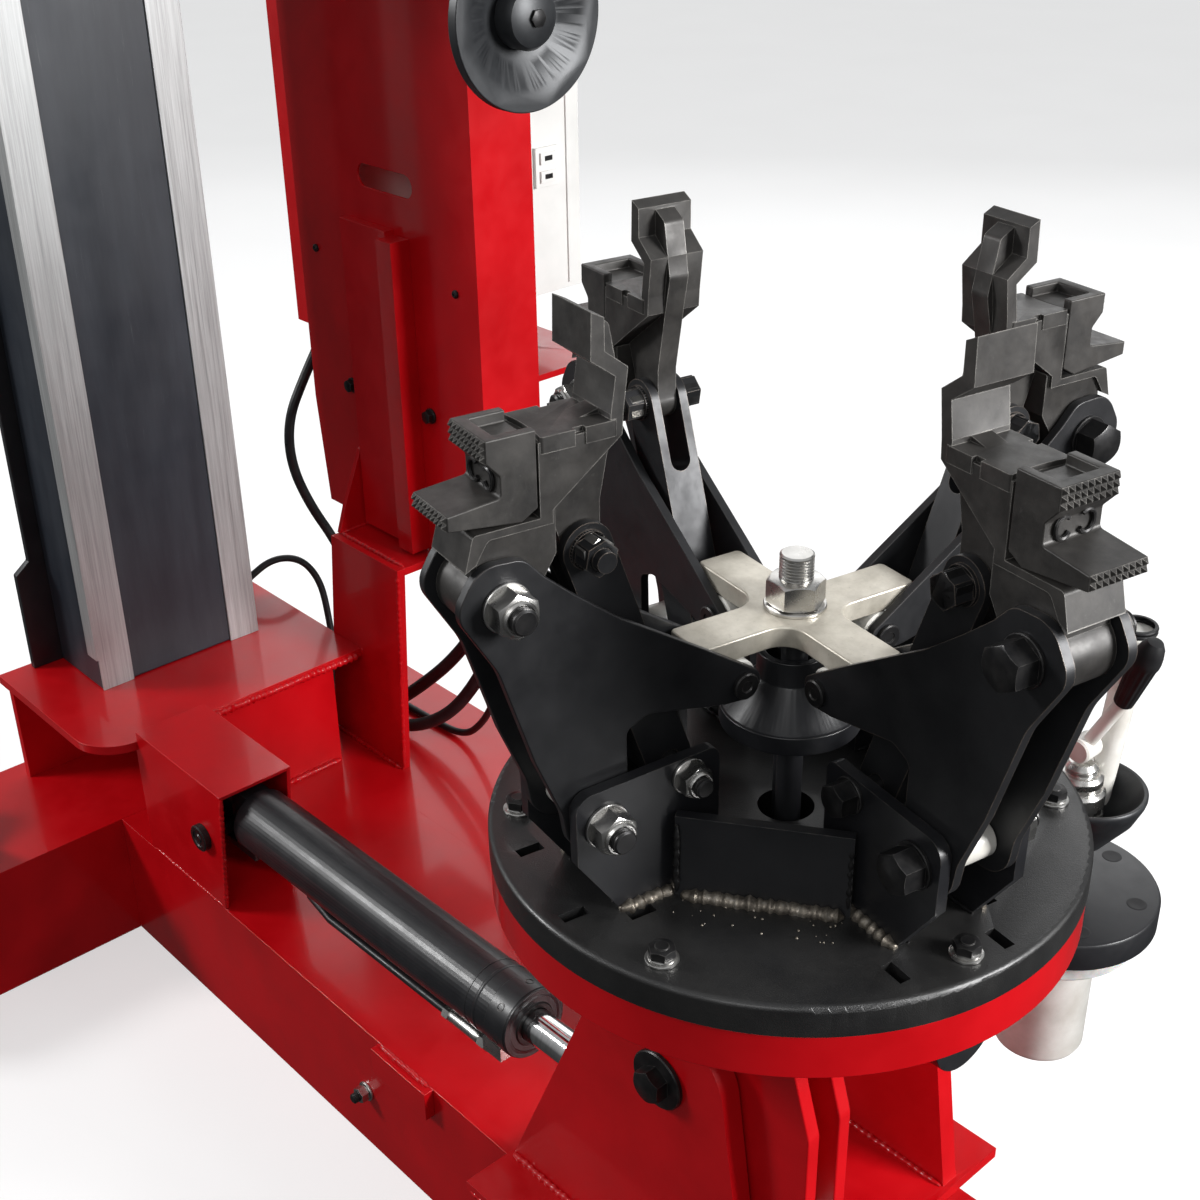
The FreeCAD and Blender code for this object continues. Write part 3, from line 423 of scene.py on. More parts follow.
def sweep(points, radius, steps):
    """Closed tube along points; radius is a number or a function of the point's number."""
    verts, faces = [], []
    count = len(points)
    side = None
    for number, point in enumerate(points):
        ahead = points[min(number + 1, count - 1)] - points[max(number - 1, 0)]
        ahead.normalize()
        if side is None:
            side = ahead.orthogonal().normalized()
        side = (side - ahead * side.dot(ahead)).normalized()
        up = ahead.cross(side)
        reach = radius(number) if callable(radius) else radius
        for step in range(steps):
            angle = 2 * math.pi * step / steps
            verts.append(point + side * (reach * math.cos(angle)) + up * (reach * math.sin(angle)))
    for number in range(count - 1):
        for step in range(steps):
            after = (step + 1) % steps
            base = number * steps
            faces.append([base + step, base + after, base + steps + after, base + steps + step])
    faces.append(list(range(steps))[::-1])
    faces.append(list(range((count - 1) * steps, count * steps)))
    return verts, faces


class Piece:
    """One visible piece made of several meshes, each with its own look."""

    def __init__(self, name, body, slot, *looks):
        self.name, self.body, self.slot = name, body, slot
        self.looks = [slot, *looks]
        self.mesh = bmesh.new()

    def add(self, shape, at=Matrix(), look=None):
        verts, faces = shape
        made = [self.mesh.verts.new(at @ vert) for vert in verts]
        index = self.looks.index(look or self.slot)
        for face in faces:
            self.mesh.faces.new([made[n] for n in face]).material_index = index
        return self

    def done(self, space=SCALE, replaces=(), bevel=0.0, smooth=35):
        """Finish the piece in its space; edges sharper than smooth, in degrees, stay hard."""
        bmesh.ops.transform(self.mesh, matrix=space, verts=self.mesh.verts)
        bmesh.ops.recalc_face_normals(self.mesh, faces=self.mesh.faces)
        data = bpy.data.meshes.new(self.name)
        self.mesh.to_mesh(data)
        self.mesh.free()
        for look in self.looks:
            data.materials.append(LOOKS[look])
        piece = bpy.data.objects.new(self.name, data)
        settle(piece, self.body, replaces, bevel, smooth=smooth)


def settle(piece, body, replaces=(), bevel=0.0, segments=2, smooth=35):
    """Link a new mesh object, soften its edges and ride it on its body."""
    bpy.context.scene.collection.objects.link(piece)
    piece.data.shade_smooth()
    piece.data.set_sharp_from_angle(angle=math.radians(smooth))
    if bevel:
        soften = piece.modifiers.new("edges", "BEVEL")
        soften.width = bevel * MM
        soften.segments = segments
        soften.limit_method = "ANGLE"
        soften.angle_limit = math.radians(smooth)
        soften.harden_normals = True
        soften.miter_outer = "MITER_ARC"
    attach(piece, body)
    if replaces:
        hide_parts(*replaces)


def dress(node, look, bevel, segments, only_largest):
    """Copy of a CAD node with its flat faces made whole, its edges rounded and its slot's look.

    With only_largest, every solid of the node but the largest is left out, such as the bolt of a link.
    """
    source = frame["nodes"][node]
    mesh = bmesh.new()
    mesh.from_mesh(source.data)
    bmesh.ops.remove_doubles(mesh, verts=mesh.verts, dist=0.1 * MM)
    if only_largest:
        rest = [face for group in islands(mesh)[1:] for face in group]
        bmesh.ops.delete(mesh, geom=rest, context="FACES")
    bmesh.ops.dissolve_limit(mesh, angle_limit=math.radians(0.5), verts=mesh.verts, edges=mesh.edges)
    data = bpy.data.meshes.new(node + "_skin")
    mesh.to_mesh(data)
    mesh.free()
    data.materials.clear()
    data.materials.append(LOOKS[look or SLOT_OF[node]])
    piece = bpy.data.objects.new(node + "_skin", data)
    settle(piece, source["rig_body"], (node,), bevel, segments)


# ---- camera, light and floor ------------------------------------------------------------------------------
def make_camera():
    """Camera at the viewing angle."""
    yaw, pitch, roll = (math.radians(angle) for angle in CAMERA_ANGLES)
    data = bpy.data.cameras.new("camera")
    data.lens = 50
    data.sensor_width = 36
    camera = bpy.data.objects.new("camera", data)
    right = Vector((math.cos(yaw), math.sin(yaw), 0))
    forward = Vector((-math.sin(yaw) * math.cos(pitch), math.cos(yaw) * math.cos(pitch), -math.sin(pitch)))
    up = right.cross(forward)
    leaned_right = right * math.cos(roll) + up * math.sin(roll)
    leaned_up = up * math.cos(roll) - right * math.sin(roll)
    turn = Matrix((leaned_right, leaned_up, -forward)).transposed().to_4x4()
    camera.matrix_world = Matrix.Translation(CAMERA_AT) @ turn
    bpy.context.scene.collection.objects.link(camera)
    bpy.context.scene.camera = camera


def area_light(name, place, target, width, height, power):
    data = bpy.data.lights.new(name, "AREA")
    data.shape = "RECTANGLE"
    data.size, data.size_y = width, height
    data.energy = power
    light = bpy.data.objects.new(name, data)
    light.location = place
    light.rotation_euler = (Vector(target) - Vector(place)).to_track_quat("-Z", "Y").to_euler()
    bpy.context.scene.collection.objects.link(light)


def make_studio():
    """Pale floor, soft sky from above, a key light on each side, a small light in front and a broad panel behind."""
    floor = bmesh.new()
    bmesh.ops.create_grid(floor, x_segments=1, y_segments=1, size=14)
    data = bpy.data.meshes.new("floor")
    floor.to_mesh(data)
    floor.free()
    look = Look("pale_floor", roughness=0.9, specular=0.1)
    look.shader.inputs["Emission Color"].default_value = (1, 1, 1, 1)
    look.shader.inputs["Emission Strength"].default_value = 0.52
    data.materials.append(look.finish(look.ramp(look.noise(2), [(0.3, 0.50), (0.7, 0.53)])))
    stage = bpy.data.objects.new("floor", data)
    stage.visible_diffuse = False
    stage.visible_glossy = False
    bpy.context.scene.collection.objects.link(stage)
    world = bpy.data.worlds.new("studio")
    world.use_nodes = True
    tree = world.node_tree
    way = tree.nodes.new("ShaderNodeTexCoord").outputs["Generated"]
    split = tree.nodes.new("ShaderNodeSeparateXYZ")
    tree.links.new(way, split.inputs[0])
    sky = tree.nodes.new("ShaderNodeValToRGB")
    for number, (place, shade) in enumerate(((0.0, 0.05), (0.42, 0.10), (0.55, 0.34), (0.8, 0.60), (1.0, 0.75))):
        mark = sky.color_ramp.elements[number] if number < 2 else sky.color_ramp.elements.new(place)
        mark.position = place
        mark.color = (shade * 0.97, shade * 0.985, shade, 1)
    lift = tree.nodes.new("ShaderNodeMapRange")
    lift.inputs["From Min"].default_value = -1
    tree.links.new(split.outputs["Z"], lift.inputs["Value"])
    tree.links.new(lift.outputs["Result"], sky.inputs["Fac"])
    tree.links.new(sky.outputs["Color"], tree.nodes["Background"].inputs["Color"])
    tree.nodes["Background"].inputs["Strength"].default_value = 0.72
    bpy.context.scene.world = world
    area_light("left_key", (-2.9, -2.3, 2.3), (-0.3, 0, 0.5), 0.8, 0.8, 78)
    area_light("front", (1.6, -2.6, 2.6), (0, 0, 0.7), 1.4, 1.4, 22)
    area_light("right_key", (2.7, 1.1, 1.8), (-0.3, 0.1, 0.8), 1.0, 1.4, 175)
    area_light("back_panel", (-2.6, 3.3, 2.3), (0, 0, 0.6), 4.5, 2.2, 48)
    bpy.context.scene.view_settings.view_transform = "Standard"


make_camera()
make_studio()

ACROSS = turned(-90, "X")


def across_arm(spot):
    """Puts a turned piece's Z along the arm's width, at a point (radius, height) of its plane."""
    return Matrix.Translation((spot[0], 0, spot[1])) @ ACROSS


def add_bolt(piece, at, radius, grip, across):
    """Hexagon bolt along Z: chamfered head below, washers, locking nut and thread above."""
    tall = 0.65 * across
    seat = grip + WASHER
    top = seat + tall
    flat = [(0, 0), (0.60 * across, 0), (0.62 * across, 0.5), (0.62 * across, 2.5), (0.60 * across, 3), (0, 3)]
    piece.add(hexagon(across, -top, -seat, top=False), at, "black_steel")
    piece.add(lathe([(r, z - seat) for r, z in flat]), at, "black_steel")
    piece.add(lathe([(radius - 0.05, -grip + 0.1), (radius - 0.05, grip)]), at, "black_steel")
    piece.add(lathe([(r, z + grip) for r, z in flat]), at, "zinc_steel")
    piece.add(hexagon(across, seat, top - 3.2, bottom=False), at, "zinc_steel")
    collar = [(0.44 * across, top - 4.5), (0.44 * across, top - 1.5), (0.40 * across, top), (radius + 0.8, top),
              (radius + 0.4, top - 1.5), (0, top - 1.5)]
    piece.add(lathe(collar), at, "zinc_steel")
    piece.add(threads(radius - 0.2, grip + 1, top + 5.5, 1.9), at, "black_steel")


def make_chuck_fasteners():
    """Pivot bolts of the ears and the six screws round the disc's rim."""
    bolts = Piece("ear_bolts", "chuck", "zinc_steel", "black_steel")
    for number in range(ARM_COUNT):
        spin = turned(arm_azimuth(number), "Z")
        add_bolt(bolts, spin @ across_arm(ARM_PIVOT), ARM_BOLT, EAR_OUT, ARM_NUT)
        add_bolt(bolts, spin @ across_arm(LINK_PIVOT), LINK_BOLT, EAR_OUT, LINK_NUT)
    bolts.done(chuck_space(), ["pivot_bolts"])
    screws = Piece("deck_screws", "chuck", "black_steel", "zinc_steel")
    circle, first, count = 224, -132, 6
    for number in range(count):
        angle = math.radians(first + 360 // count * number)
        place = (circle * math.cos(angle), circle * math.sin(angle), 0)
        at = Matrix.Translation(place) @ Matrix.Rotation(number, 4, "Z")
        screws.add(lathe([(0, 0), (12.4, 0), (13, 0.5), (13, 2), (12.2, 2.5), (0, 2.5)]), at, "zinc_steel")
        screws.add(lathe([(0, 2.5), (10.6, 2.5), (11, 3), (10.8, 4), (9.8, 4.6), (0, 4.6)]), at, "zinc_steel")
        screws.add(hexagon(19, 4.6, 12, bottom=False), at)
        screws.add(lathe([(0, 12), (5.6, 12), (5.2, 13), (0, 13)]), at)
        screws.add(lathe([(5.9, -26), (5.9, 0.5)]), at)
    screws.done(chuck_space(), ["disc_bolts"])


def make_clamp_top():
    """Washer, big nut and threaded stub on the cross plate."""
    top = Piece("clamp_top", "clamp", "zinc_steel", "black_steel")
    top.add(lathe([(0, 190), (24.4, 190), (25, 190.6), (25, 192.4), (24.4, 193), (0, 193)]))
    top.add(hexagon(41, 193, 214.5))
    top.add(threads(13.8, 213, 236, 2.6))
    top.add(lathe([(13.8, 172.2), (13.8, 191)]))
    top.done(chuck_space(20), ["clamp_nut"])


def arm_fasteners(number):
    """Jaw bolt of an arm, and its roller on a riveted pin."""
    piece = Piece(f"arm_{number + 1}_fasteners", f"arm_{number + 1}", "zinc_steel", "black_steel", "white_roller")
    add_bolt(piece, across_arm(JAW_PIVOT), ARM_BOLT, PLATE_OUT, ARM_NUT)
    pin = across_arm(ROLLER_PIN)
    for side in (-1, 1):
        cap = [(0, 31 * side), (10.4, 31 * side), (11, 31.6 * side), (11, 34.2 * side), (10, 35 * side),
               (5, 35 * side), (4.2, 34 * side), (0, 34 * side)]
        piece.add(lathe(cap), pin, "black_steel")
    piece.add(lathe([(7.9, -31), (7.9, 31)]), pin, "black_steel")
    piece.add(lathe([(8, -22.4), (15.4, -22.4), (16.8, -20.8), (16.8, 20.8), (15.4, 22.4), (8, 22.4)]), pin,
              "white_roller")
    piece.done(chuck_space(arm_azimuth(number)), [f"arm_{number + 1}_bolts"])


def link_bolt(number):
    """Bolt at the link's far end, in the jaw."""
    piece = Piece(f"link_{number + 1}_bolt", f"link_{number + 1}", "zinc_steel", "black_steel")
    add_bolt(piece, across_arm(JAW_LINK), LINK_BOLT, LINK_OUT, LINK_NUT)
    piece.done(chuck_space(arm_azimuth(number)))


def islands(mesh):
    """Faces of each separate solid in a mesh, largest first."""
    left, found = set(mesh.faces), []
    while left:
        queue, group = [left.pop()], []
        while queue:
            face = queue.pop()
            group.append(face)
            for edge in face.edges:
                for other in edge.link_faces:
                    if other in left:
                        left.remove(other)
                        queue.append(other)
        found.append(group)
    return sorted(found, key=lambda faces: -sum(face.calc_area() for face in faces))


def knurl(piece, face, low, rows):
    """Rows of four-sided points, standing out from a pad's outer face at a radius, upward from a height."""
    columns, pitch, lift, tip, root = 9, 5.4, 3.2, 0.4, 3
    half = pitch / 2
    for row in range(rows):
        for column in range(columns):
            y = (column - (columns - 1) / 2) * pitch
            z = low + (row + 0.5) * pitch
            verts = [Vector((face, y - half, z - half)), Vector((face, y + half, z - half)),
                     Vector((face, y + half, z + half)), Vector((face, y - half, z + half)),
                     Vector((face + lift, y - tip, z - tip)), Vector((face + lift, y + tip, z - tip)),
                     Vector((face + lift, y + tip, z + tip)), Vector((face + lift, y - tip, z + tip)),
                     Vector((face - root, y, z))]
            faces = [[4, 5, 6, 7], [0, 1, 5, 4], [1, 2, 6, 5], [2, 3, 7, 6], [3, 0, 4, 7]]
            piece.add((verts, faces + [[1, 0, 8], [2, 1, 8], [3, 2, 8], [0, 3, 8]]))


def make_pad_teeth(number):
    """Knurling of both steps and the two spring clips that hold the pad to its jaw."""
    name = f"jaw_{number + 1}"
    piece = Piece(f"{name}_teeth", name, "forged_steel", "black_steel")
    knurl(piece, 277.6, 383.6, 3)
    knurl(piece, 307.6, 343.2, 2)
    for side in (-1, 1):
        points = []
        for step in range(15):
            angle = math.radians(-150 + 20 * step)
            points.append(Vector((269.4, side * 10 + 6.4 * math.cos(angle) * side, 367 + 7.5 * math.sin(angle))))
        piece.add(sweep(points, 1.7, 8), look="black_steel")
    piece.done(chuck_space(arm_azimuth(number)), smooth=20)


def bead(piece, points, radius, seed, look=None, at=Matrix()):
    """Weld bead: a lumpy tube along points with overlapping ripples; the seed sets its lumps."""
    spacing, unevenness, waver = 1.8, 0.10, 0.7
    picker = random.Random(seed)
    line = []
    for start, finish in zip(points, points[1:]):
        start, finish = Vector(start), Vector(finish)
        count = max(3, int((finish - start).length / spacing))
        line += [start.lerp(finish, step / count) for step in range(count)]
    line.append(Vector(points[-1]))
    wobble = [1 + picker.uniform(-unevenness, unevenness) for _ in line]
    line = [spot + Vector([waver * noise.noise(spot * 0.11 + Vector((seed, axis * 7, 0))) for axis in range(3)])
            for spot in line]

    def reach(number):
        end = min(number, len(line) - 1 - number)
        return radius * wobble[number] * (0.86 + 0.14 * math.sin(number * 1.35)) * min(1, 0.35 + end * 0.2)

    piece.add(sweep(line, reach, 12), at, look)


def make_welds():
    """Bare beads where the walls and ears meet the disc, and painted beads on the frame."""
    bare = Piece("chuck_welds", "chuck", "black_steel", "weld_metal")
    picker = random.Random(5)
    for number in range(ARM_COUNT):
        turn = turned(arm_azimuth(number) + 45, "Z")
        bead(bare, [(139, -62, 1), (140, -20, 1.5), (139, 25, 1), (140, 64, 1.5)], 7.0, number, "weld_metal", turn)
        bead(bare, [(127, -58, 1), (127, 58, 1)], 3.2, number + 10, "weld_metal", turn)
        for _ in range(26):
            spot = Vector((picker.uniform(144, 172), picker.uniform(-66, 66), 0.2))
            size = picker.uniform(0.5, 1.4)
            ball = lathe([(0, -size * 0.4), (size, 0), (size * 0.7, size * 0.7), (0, size)], 8)
            bare.add(ball, turn @ Matrix.Translation(spot), "weld_metal")
        spin = turned(arm_azimuth(number), "Z")
        for side in (-1, 1):
            seed = number * 3 + side + 20
            for y, radius, look in ((EAR_OUT + 1.5, 6.4, "weld_metal"), (EAR_IN - 1, 2.4, "black_steel")):
                bead(bare, [(104, side * y, 0.6), (192, side * y, 0.6)], radius, seed, look, spin)
        for side in (-1, 1):
            bead(bare, [(side * 2 + 137.5, -66 * side, 4), (side * 2 + 137.5, -66 * side, 66)], 3.0,
                 number * 5 + side + 50, "black_steel", turn)
    bare.done(chuck_space(), smooth=60)

    paint = Piece("frame_welds", "root", "red_paint")
    bead(paint, [(-927, -134, 330), (-926, 186, 330)], 6.2, 70)
    bead(paint, [(-928, -138, 180), (-928, 144, 180)], 4.5, 71)
    for side in (-1, 1):
        for start, finish, y, z, radius, seed in ((-204, 110, 149, 191, 4.2, 72), (-204, 110, 125, 191, 3.6, 75),
                                                  (-208, 116, 203, 179, 3.6, 78)):
            bead(paint, [(start, side * y, z), (finish, side * y, z)], radius, seed + side)
    for start, finish, radius, seed in (((-751, -146, 180), (-727, -146, 350), 3.2, 80),
                                        ((-922, -146, 180), (-757, -146, 180), 3.0, 81),
                                        ((-1005, 190, 180), (-852, 190, 180), 3.8, 82),
                                        ((-848, 192, 182), (-826, 192, 486), 3.0, 83),
                                        ((-966, 204, 493), (-830, 204, 493), 3.6, 84),
                                        ((-925, 193, 326), (-925, 193, 341), 4.0, 85),
                                        ((-968, 205, 493), (-968, 254, 493), 3.2, 87),
                                        ((-968, 256, 494), (-968, 256, 600), 2.4, 88),
                                        ((-430, -149, 179), (-346, -149, 179), 2.8, 86)):
        bead(paint, [start, finish], radius, seed)
    paint.done(smooth=60)


def make_fixed_fittings():
    """Screws of the tower, the stop screw on the beam, the hose manifold and the pivot pins' heads."""
    piece = Piece("fittings", "root", "black_steel", "zinc_steel")
    toward_front = turned(90, "X")
    tower_face = 257
    for x, z in ((-1045, 854), (-756, 857)):
        at = Matrix.Translation((x, tower_face, z)) @ toward_front
        piece.add(lathe([(0, 0), (5, 0), (5, 2.4), (3.4, 3.8), (2, 3.9), (1.8, 2.4), (0, 2.4)], 24), at)
    for x, z in ((-988, 683), (-820, 687), (-998, 537)):
        at = Matrix.Translation((x, tower_face, z)) @ toward_front
        piece.add(lathe([(0, 0), (9.6, 0), (10, 0.5), (10, 2.5), (9.4, 3), (0, 3)], 32), at)
        piece.add(hexagon(15, 3, 9.8, bottom=False), at)
    stop = Matrix.Translation((-471, -147, 84)) @ toward_front
    piece.add(lathe([(0, 0), (11.6, 0), (12, 0.5), (12, 2.4), (11.6, 3), (0, 3)]), stop, "zinc_steel")
    piece.add(hexagon(17, 3, 13), stop, "zinc_steel")
    piece.add(threads(5.9, 12, 20.8, 1.5), stop, "black_steel")
    manifold = block((-1150, -1090), (218, 345), (178.3, 216))
    piece.add(manifold)
    piece.done(replaces=["fixed_fittings"], bevel=0.8)
    pins = Piece("pivot_pin_heads", "root", "black_steel")
    hood_pin = Matrix.Translation((-780, -147, 273)) @ toward_front
    hollowed = [(0, 0), (16.4, 0), (17, 0.6), (17, 8), (15.6, 9), (11, 9), (10, 7.6), (6, 7.6), (5, 8.8), (0, 8.8)]
    pins.add(lathe(hollowed), hood_pin)
    pins.add(lathe([(9.9, -105), (9.9, 2)]), hood_pin)
    for side in (-1, 1):
        frame_pin = Matrix.Translation((0, 147 * side, 433)) @ turned(-90 * side, "X")
        pins.add(lathe([(0, 0), (27, 0), (28, 1), (28, 4), (27, 5), (0, 5)], 56), frame_pin)
        pins.add(hexagon(28, 5, 18, bottom=False), frame_pin)
        pins.add(lathe([(19.9, -43), (19.9, 1)]), frame_pin)
    pins.done(replaces=["pivot_pins"])


def make_cylinder_trim():
    """Gland nut with spanner holes, scraper, two rings on the barrel, and the port block with its pipe."""
    rod_eye = Matrix.Translation((113, -98, 320))
    lean = Matrix.Rotation(-math.atan2(17, 838), 4, "Y")
    trim = Piece("gland", "tilt_barrel", "black_paint", "zinc_steel", "black_steel", "hose_rubber")
    trim.add(lathe([(37.9, -392), (38.6, -391), (38.6, -388), (37.9, -387)], 64))
    trim.add(lathe([(38, -404), (38.5, -403.4), (38.5, -402.6), (38, -402)], 64))
    trim.add(lathe([(37.5, -372), (38.9, -370.5), (38.9, -343), (37.2, -340.6), (30, -339.6), (28.5, -341),
                    (18.4, -341)], 64))
    trim.add(lathe([(18.2, -344), (23.5, -343), (24, -340), (22.5, -338.4), (18.2, -338.4)], 48), look="black_steel")
    for turn in range(0, 360, 60):
        hole = turned(turn + 15, "Z") @ Matrix.Translation((0, 38.6, -356)) @ ACROSS
        trim.add(lathe([(3.9, 0.1), (4.3, 0.6), (3.5, 0.7), (3.2, -2.2), (0, -2.2)], 20), hole, "black_steel")
    pipe = Matrix.Translation((36, -27, 0))
    trim.add(block((20, 36), (-35, -19), (-380, -352)), look="zinc_steel")
    trim.add(hexagon(15, -392, -380), pipe, "zinc_steel")
    trim.add(lathe([(0, -440), (6.4, -440), (7, -438), (7, -396), (5.4, -394), (5.4, -392), (0, -392)], 32), pipe,
             "zinc_steel")
    trim.add(hexagon(14, -450, -440), pipe, "zinc_steel")
    route = [Vector((36, -27, z)) for z in (-452, -520, -600, -660)]
    route += [Vector((34, -20, -710)), Vector((30, -8, -740))]
    trim.add(sweep(route, 4.6, 16), look="hose_rubber")
    trim.done(SCALE @ rod_eye @ lean @ turned(90, "Y"))


def make_hose(name, diameter, points):
    """Hose on one smooth curve through its route's points, given in millimetres."""
    curve = bpy.data.curves.new(name + "_line", "CURVE")
    curve.dimensions = "3D"
    curve.bevel_depth = diameter / 2 * MM
    curve.bevel_resolution = 5
    curve.resolution_u = 12
    curve.use_fill_caps = True
    spline = curve.splines.new("NURBS")
    spline.points.add(len(points) - 1)
    for mark, (x, y, z) in zip(spline.points, points):
        mark.co = (x * MM, y * MM, z * MM, 1)
    spline.order_u = 3
    spline.use_endpoint_u = True
    curve.materials.append(LOOKS["hose_rubber"])
    piece = bpy.data.objects.new(name + "_line", curve)
    bpy.context.scene.collection.objects.link(piece)
    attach(piece, "root")
    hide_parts(name)


def make_hoses():
    make_hose("hose_1", 14, [(-1128, 316, 760), (-1138, 312, 700), (-1150, 284, 645), (-1152, 252, 590),
                                  (-1152, 248, 525), (-1150, 270, 455), (-1142, 304, 385), (-1130, 324, 310),
                                  (-1128, 326, 208)])
    make_hose("hose_2", 10, [(-1150, 121, 355), (-1150, 156, 373), (-1150, 199, 391), (-1148, 243, 378),
                                  (-1143, 268, 340), (-1136, 274, 290), (-1132, 276, 208)])
    make_hose("hose_3", 18, [(-782, 308, 520), (-784, 307, 440), (-812, 303, 370), (-858, 290, 305),
                                  (-916, 274, 246), (-984, 264, 188), (-1082, 262, 188)])
    make_hose("hose_4", 18, [(-752, 318, 520), (-758, 316, 440), (-776, 306, 365), (-806, 292, 292),
                                  (-852, 272, 226), (-920, 246, 188), (-1000, 235, 188), (-1082, 234, 188)])
    make_hose("hose_5", 10, [(-738, 292, 520), (-740, 294, 440), (-752, 297, 360), (-772, 299, 284),
                                  (-806, 300, 226), (-850, 299, 184), (-925, 293, 184), (-1000, 290, 184),
                                  (-1082, 289, 184)])
    # The crimped sleeve on hose 5, in line with the hose.
    ferrule = Piece("hose_ferrule", "root", "zinc_steel")
    way = (Vector((-783, 299.2, 262)) - Vector((-772, 299, 290))).normalized()
    at = Matrix.Translation((-775, 299, 284)) @ way.to_track_quat("Z", "Y").to_matrix().to_4x4()
    ferrule.add(lathe([(4, 0), (7, 0), (7.6, 1), (7.6, 5), (6.6, 6), (6.6, 8), (7.6, 9), (7.6, 13), (6.6, 14),
                       (6.6, 16), (7.6, 17), (7.6, 22), (6.8, 23.5), (4, 23.5)], 32), at)
    ferrule.add(hexagon(17, -9, 0), at)
    ferrule.done()


def make_tank():
    """Oil bottle with its frosted collar, the drilled lid, the filler bowl, the pipes above it and its post."""
    piece = Piece("tank", "root", "black_paint", "white_roller", "frosted", "zinc_steel", "dish_black", "black_rubber")
    bottle_axis = Matrix.Translation((62, 350, 0))
    bowl_axis = Matrix.Translation((79, 350, 0))
    union_axis = Matrix.Translation((70, 350, 0))
    lid_top = 410
    piece.add(lathe([(0, 211), (38, 211), (44, 213), (47, 219), (47, 336), (48.5, 339), (48.5, 343), (46, 345)], 72),
              bottle_axis, "white_roller")
    piece.add(lathe([(46, 344), (58, 345), (80, 352), (83, 355), (83, 378.8), (60, 378.8)], 72), bottle_axis,
              "frosted")
    piece.add(lathe([(0, 379.4), (98, 379.4), (100, 381.4), (100, 407), (98.6, 409.4), (96, lid_top), (0, lid_top)],
                    96), bottle_axis)
    for turn in range(6):
        angle = math.radians(60 * turn + 20)
        hole = bottle_axis @ Matrix.Translation((78 * math.cos(angle), 78 * math.sin(angle), lid_top))
        piece.add(lathe([(0, 0.15), (7.5, 0.15), (9.2, 0.3), (10, 0.02)], 28), hole, "black_rubber")
    piece.add(lathe([(13.5, 409), (13.5, 470), (22, 472), (48, 508), (56, 527), (57, 531), (57, 534), (55.6, 536),
                     (52.6, 535.4), (51.6, 532), (44, 510), (22, 486), (0, 484)], 72), bowl_axis, "dish_black")
    piece.add(lathe([(0, 486), (25, 487), (26, 489), (26, 505), (24, 507), (24, 512), (26, 514), (26, 528), (23, 531),
                     (21, 531), (21, 536), (22.4, 538), (22.4, 544), (19, 548), (15, 549), (15, 553), (16.6, 555),
                     (12, 560), (0, 560)], 56), union_axis, "zinc_steel")
    pipe_top = Vector((86, 385, 672))
    pipe = [Vector((70, 385, 500)), Vector((76, 385, 560)), Vector((81, 385, 618)), pipe_top]
    piece.add(sweep(pipe, 13.6, 28), look="white_roller")
    way = (Vector((87, 385, 704)) - pipe_top).normalized().to_track_quat("Z", "Y")
    head = Matrix.Translation(pipe_top) @ way.to_matrix().to_4x4()
    piece.add(lathe([(0, -22), (17, -22), (18.6, -20), (18.6, 21), (17, 23), (0, 23)], 48), head, "white_roller")
    for height in (24.5, 28.5):
        piece.add(lathe([(15, height - 1.8), (18.2, height - 1.8), (19, height), (18.2, height + 1.8),
                         (15, height + 1.8)], 48), head, "black_rubber")
    piece.add(block((-172, 0), (382, 402), (410.3, 423.6)))
    piece.add(lathe([(0, 39), (21.8, 39), (21.8, 424), (0, 424)], 48), Matrix.Translation((-150, 395, 0)))
    piece.add(block((-170, -130), (147.3, 420), (0.3, 39.8)))
    piece.done(replaces=["oil_tank"], bevel=0.6)


def make_grip():
    """Cranked lever at the tank with its ribbed rubber grip."""
    grip = Piece("grip", "hand_grip", "black_rubber", "white_roller")
    start, middle, finish = Vector((70, 350, 575)), Vector((103, 350, 641)), Vector((126, 350, 716))
    grip.add(lathe([(0, -13), (11, -13), (12.8, -11), (12.8, 11), (11, 13), (0, 13)], 40),
             Matrix.Translation(start) @ ACROSS, "white_roller")
    grip.add(sweep([start, start.lerp(middle, 0.5), middle, middle.lerp(finish, 0.1)], 6.8, 24), look="white_roller")
    way = (finish - middle).normalized().to_track_quat("Z", "Y").to_matrix().to_4x4()

    def ribs(angle, radius, height):
        rib = 0.9 * (0.5 + 0.5 * math.cos(angle * 14)) if 4 < height < 48 else 0
        return radius - rib, height

    grip.add(lathe([(0, -3), (8.4, -3), (9.4, -1.6), (10.4, 6), (13.2, 46), (13.8, 49), (13.8, 54), (13, 60), (11, 68),
                    (7.5, 74), (0, 76)], 112, ribs), Matrix.Translation(middle) @ way)
    grip.done(replaces=["hand_grip"])


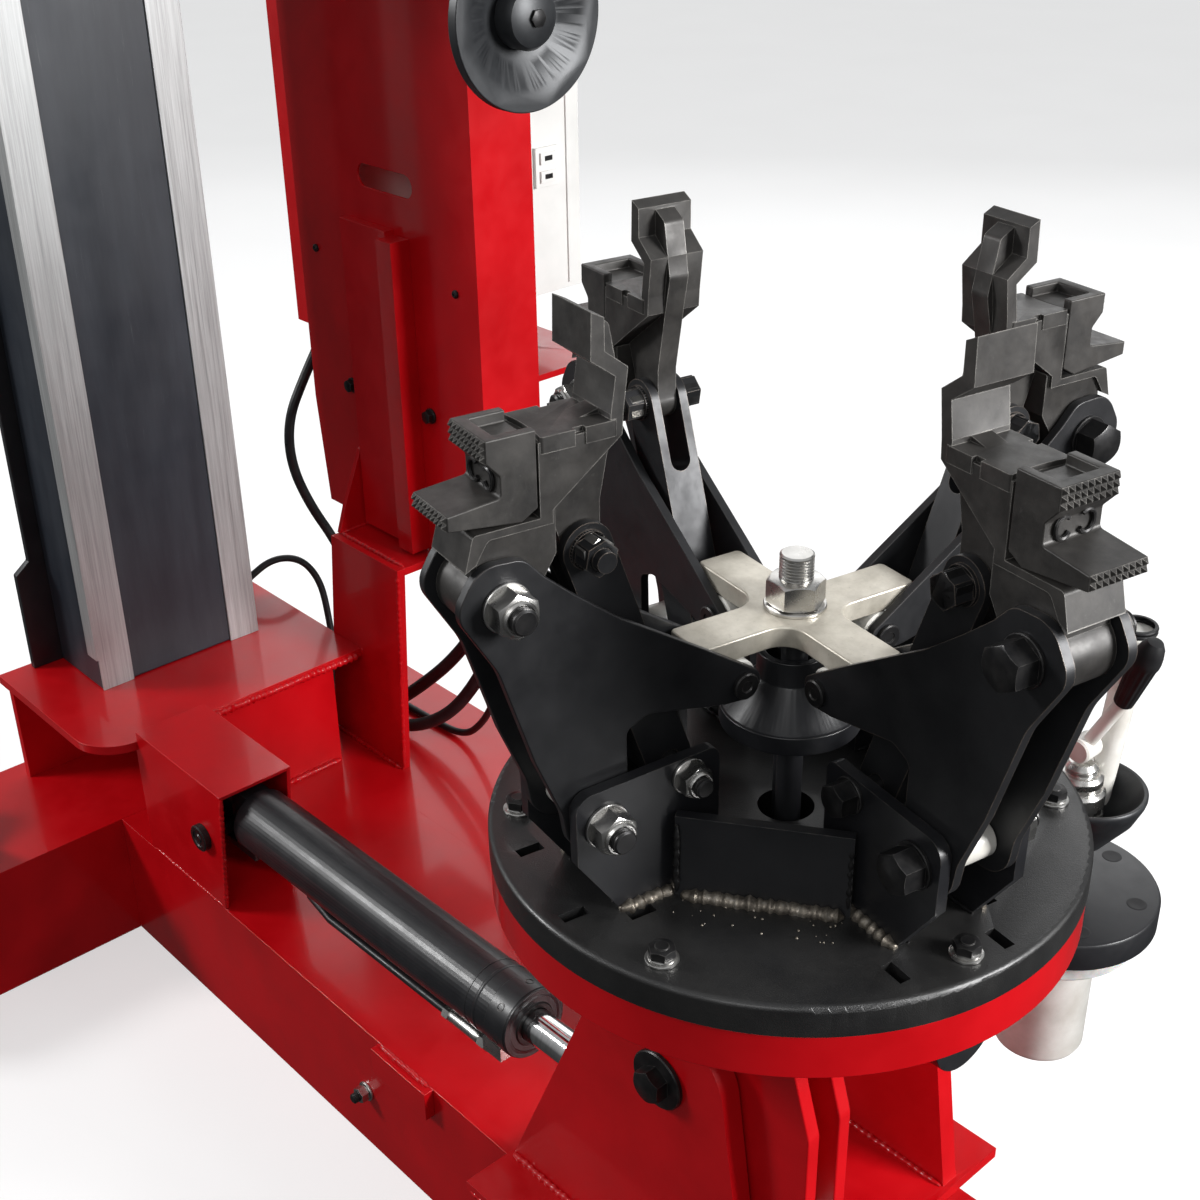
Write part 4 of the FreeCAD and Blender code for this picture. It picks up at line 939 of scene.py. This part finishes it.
def make_hub_cap():
    """Dark cap over the bead disc's axle end."""
    cap = Piece("hub_cap", "bead_disc", "dish_black", "black_steel")
    at = Matrix.Translation((-310, 0, 1242)) @ turned(90, "Y")
    cap.add(lathe([(12.3, -4), (24, -4), (26, -2), (26, 10), (23, 15), (15, 18.4), (0, 19)], 48), at)
    cap.add(hexagon(13, 18.8, 22), at, "black_steel")
    cap.done()


def make_cabinet_trim():
    """Folded strips and the hasp on the cabinet's narrow door."""
    trim = Piece("door_trim", "cabinet_door", "white_cabinet", "black_steel")
    inside = -800.2
    for low, high in ((358, 364), (404, 408), (470, 476)):
        trim.add(block((inside, -797.6), (low, high), (816, 1292)))
    for low in (950, 972):
        trim.add(block((inside, -792), (424, 448), (low, low + 14)))
        trim.add(block((-792.2, -791.6), (430, 442), (low + 4, low + 10)), look="black_steel")
    trim.add(block((inside, -795), (418, 454), (944, 992)))
    trim.done(bevel=1.0)


# ---- everything on its body -----------------------------------------------------------------------------
LOOK_OF = {"mast": "mast_steel"}
BEVEL_OF = {"chuck_disc": 2.2, "mast_foot": 2.5, "cylinder_hood": 2.5, "pivot_bracket": 2.2, "tower_shell": 1.6,
            "cross_plate": 1.8, "base_frame": 3.0, "tilt_frame": 2.0, "clamp_hub": 2.0, "wear_strips": 0.7,
            "tilt_barrel": 1.0, "support_brackets": 4.5, "mast": 3.0, "carriage": 4.0, "tool_boom": 3.0}
PLAIN_BEVEL, JAW_BEVEL = 1.2, 2.2
# Nodes that the functions above build anew; the hoses are left out by their names.
BUILT = {"pivot_bolts", "disc_bolts", "clamp_nut", "fixed_fittings", "pivot_pins", "oil_tank", "hand_grip"}
make_chuck_fasteners()
make_clamp_top()
for arm_number in range(ARM_COUNT):
    arm_fasteners(arm_number)
    link_bolt(arm_number)
    make_pad_teeth(arm_number)
    BUILT.add(f"arm_{arm_number + 1}_bolts")
make_welds()
make_fixed_fittings()
make_cylinder_trim()
make_hoses()
make_tank()
make_grip()
make_hub_cap()
make_cabinet_trim()
for node in frame["nodes"]:
    if node in BUILT or node.startswith("hose"):
        continue
    bevel = JAW_BEVEL if node.startswith("jaw") else BEVEL_OF.get(node, PLAIN_BEVEL)
    segments = 3 if node.startswith(("jaw", "pad")) else 2
    dress(node, LOOK_OF.get(node), bevel, segments, only_largest=node.startswith("link"))
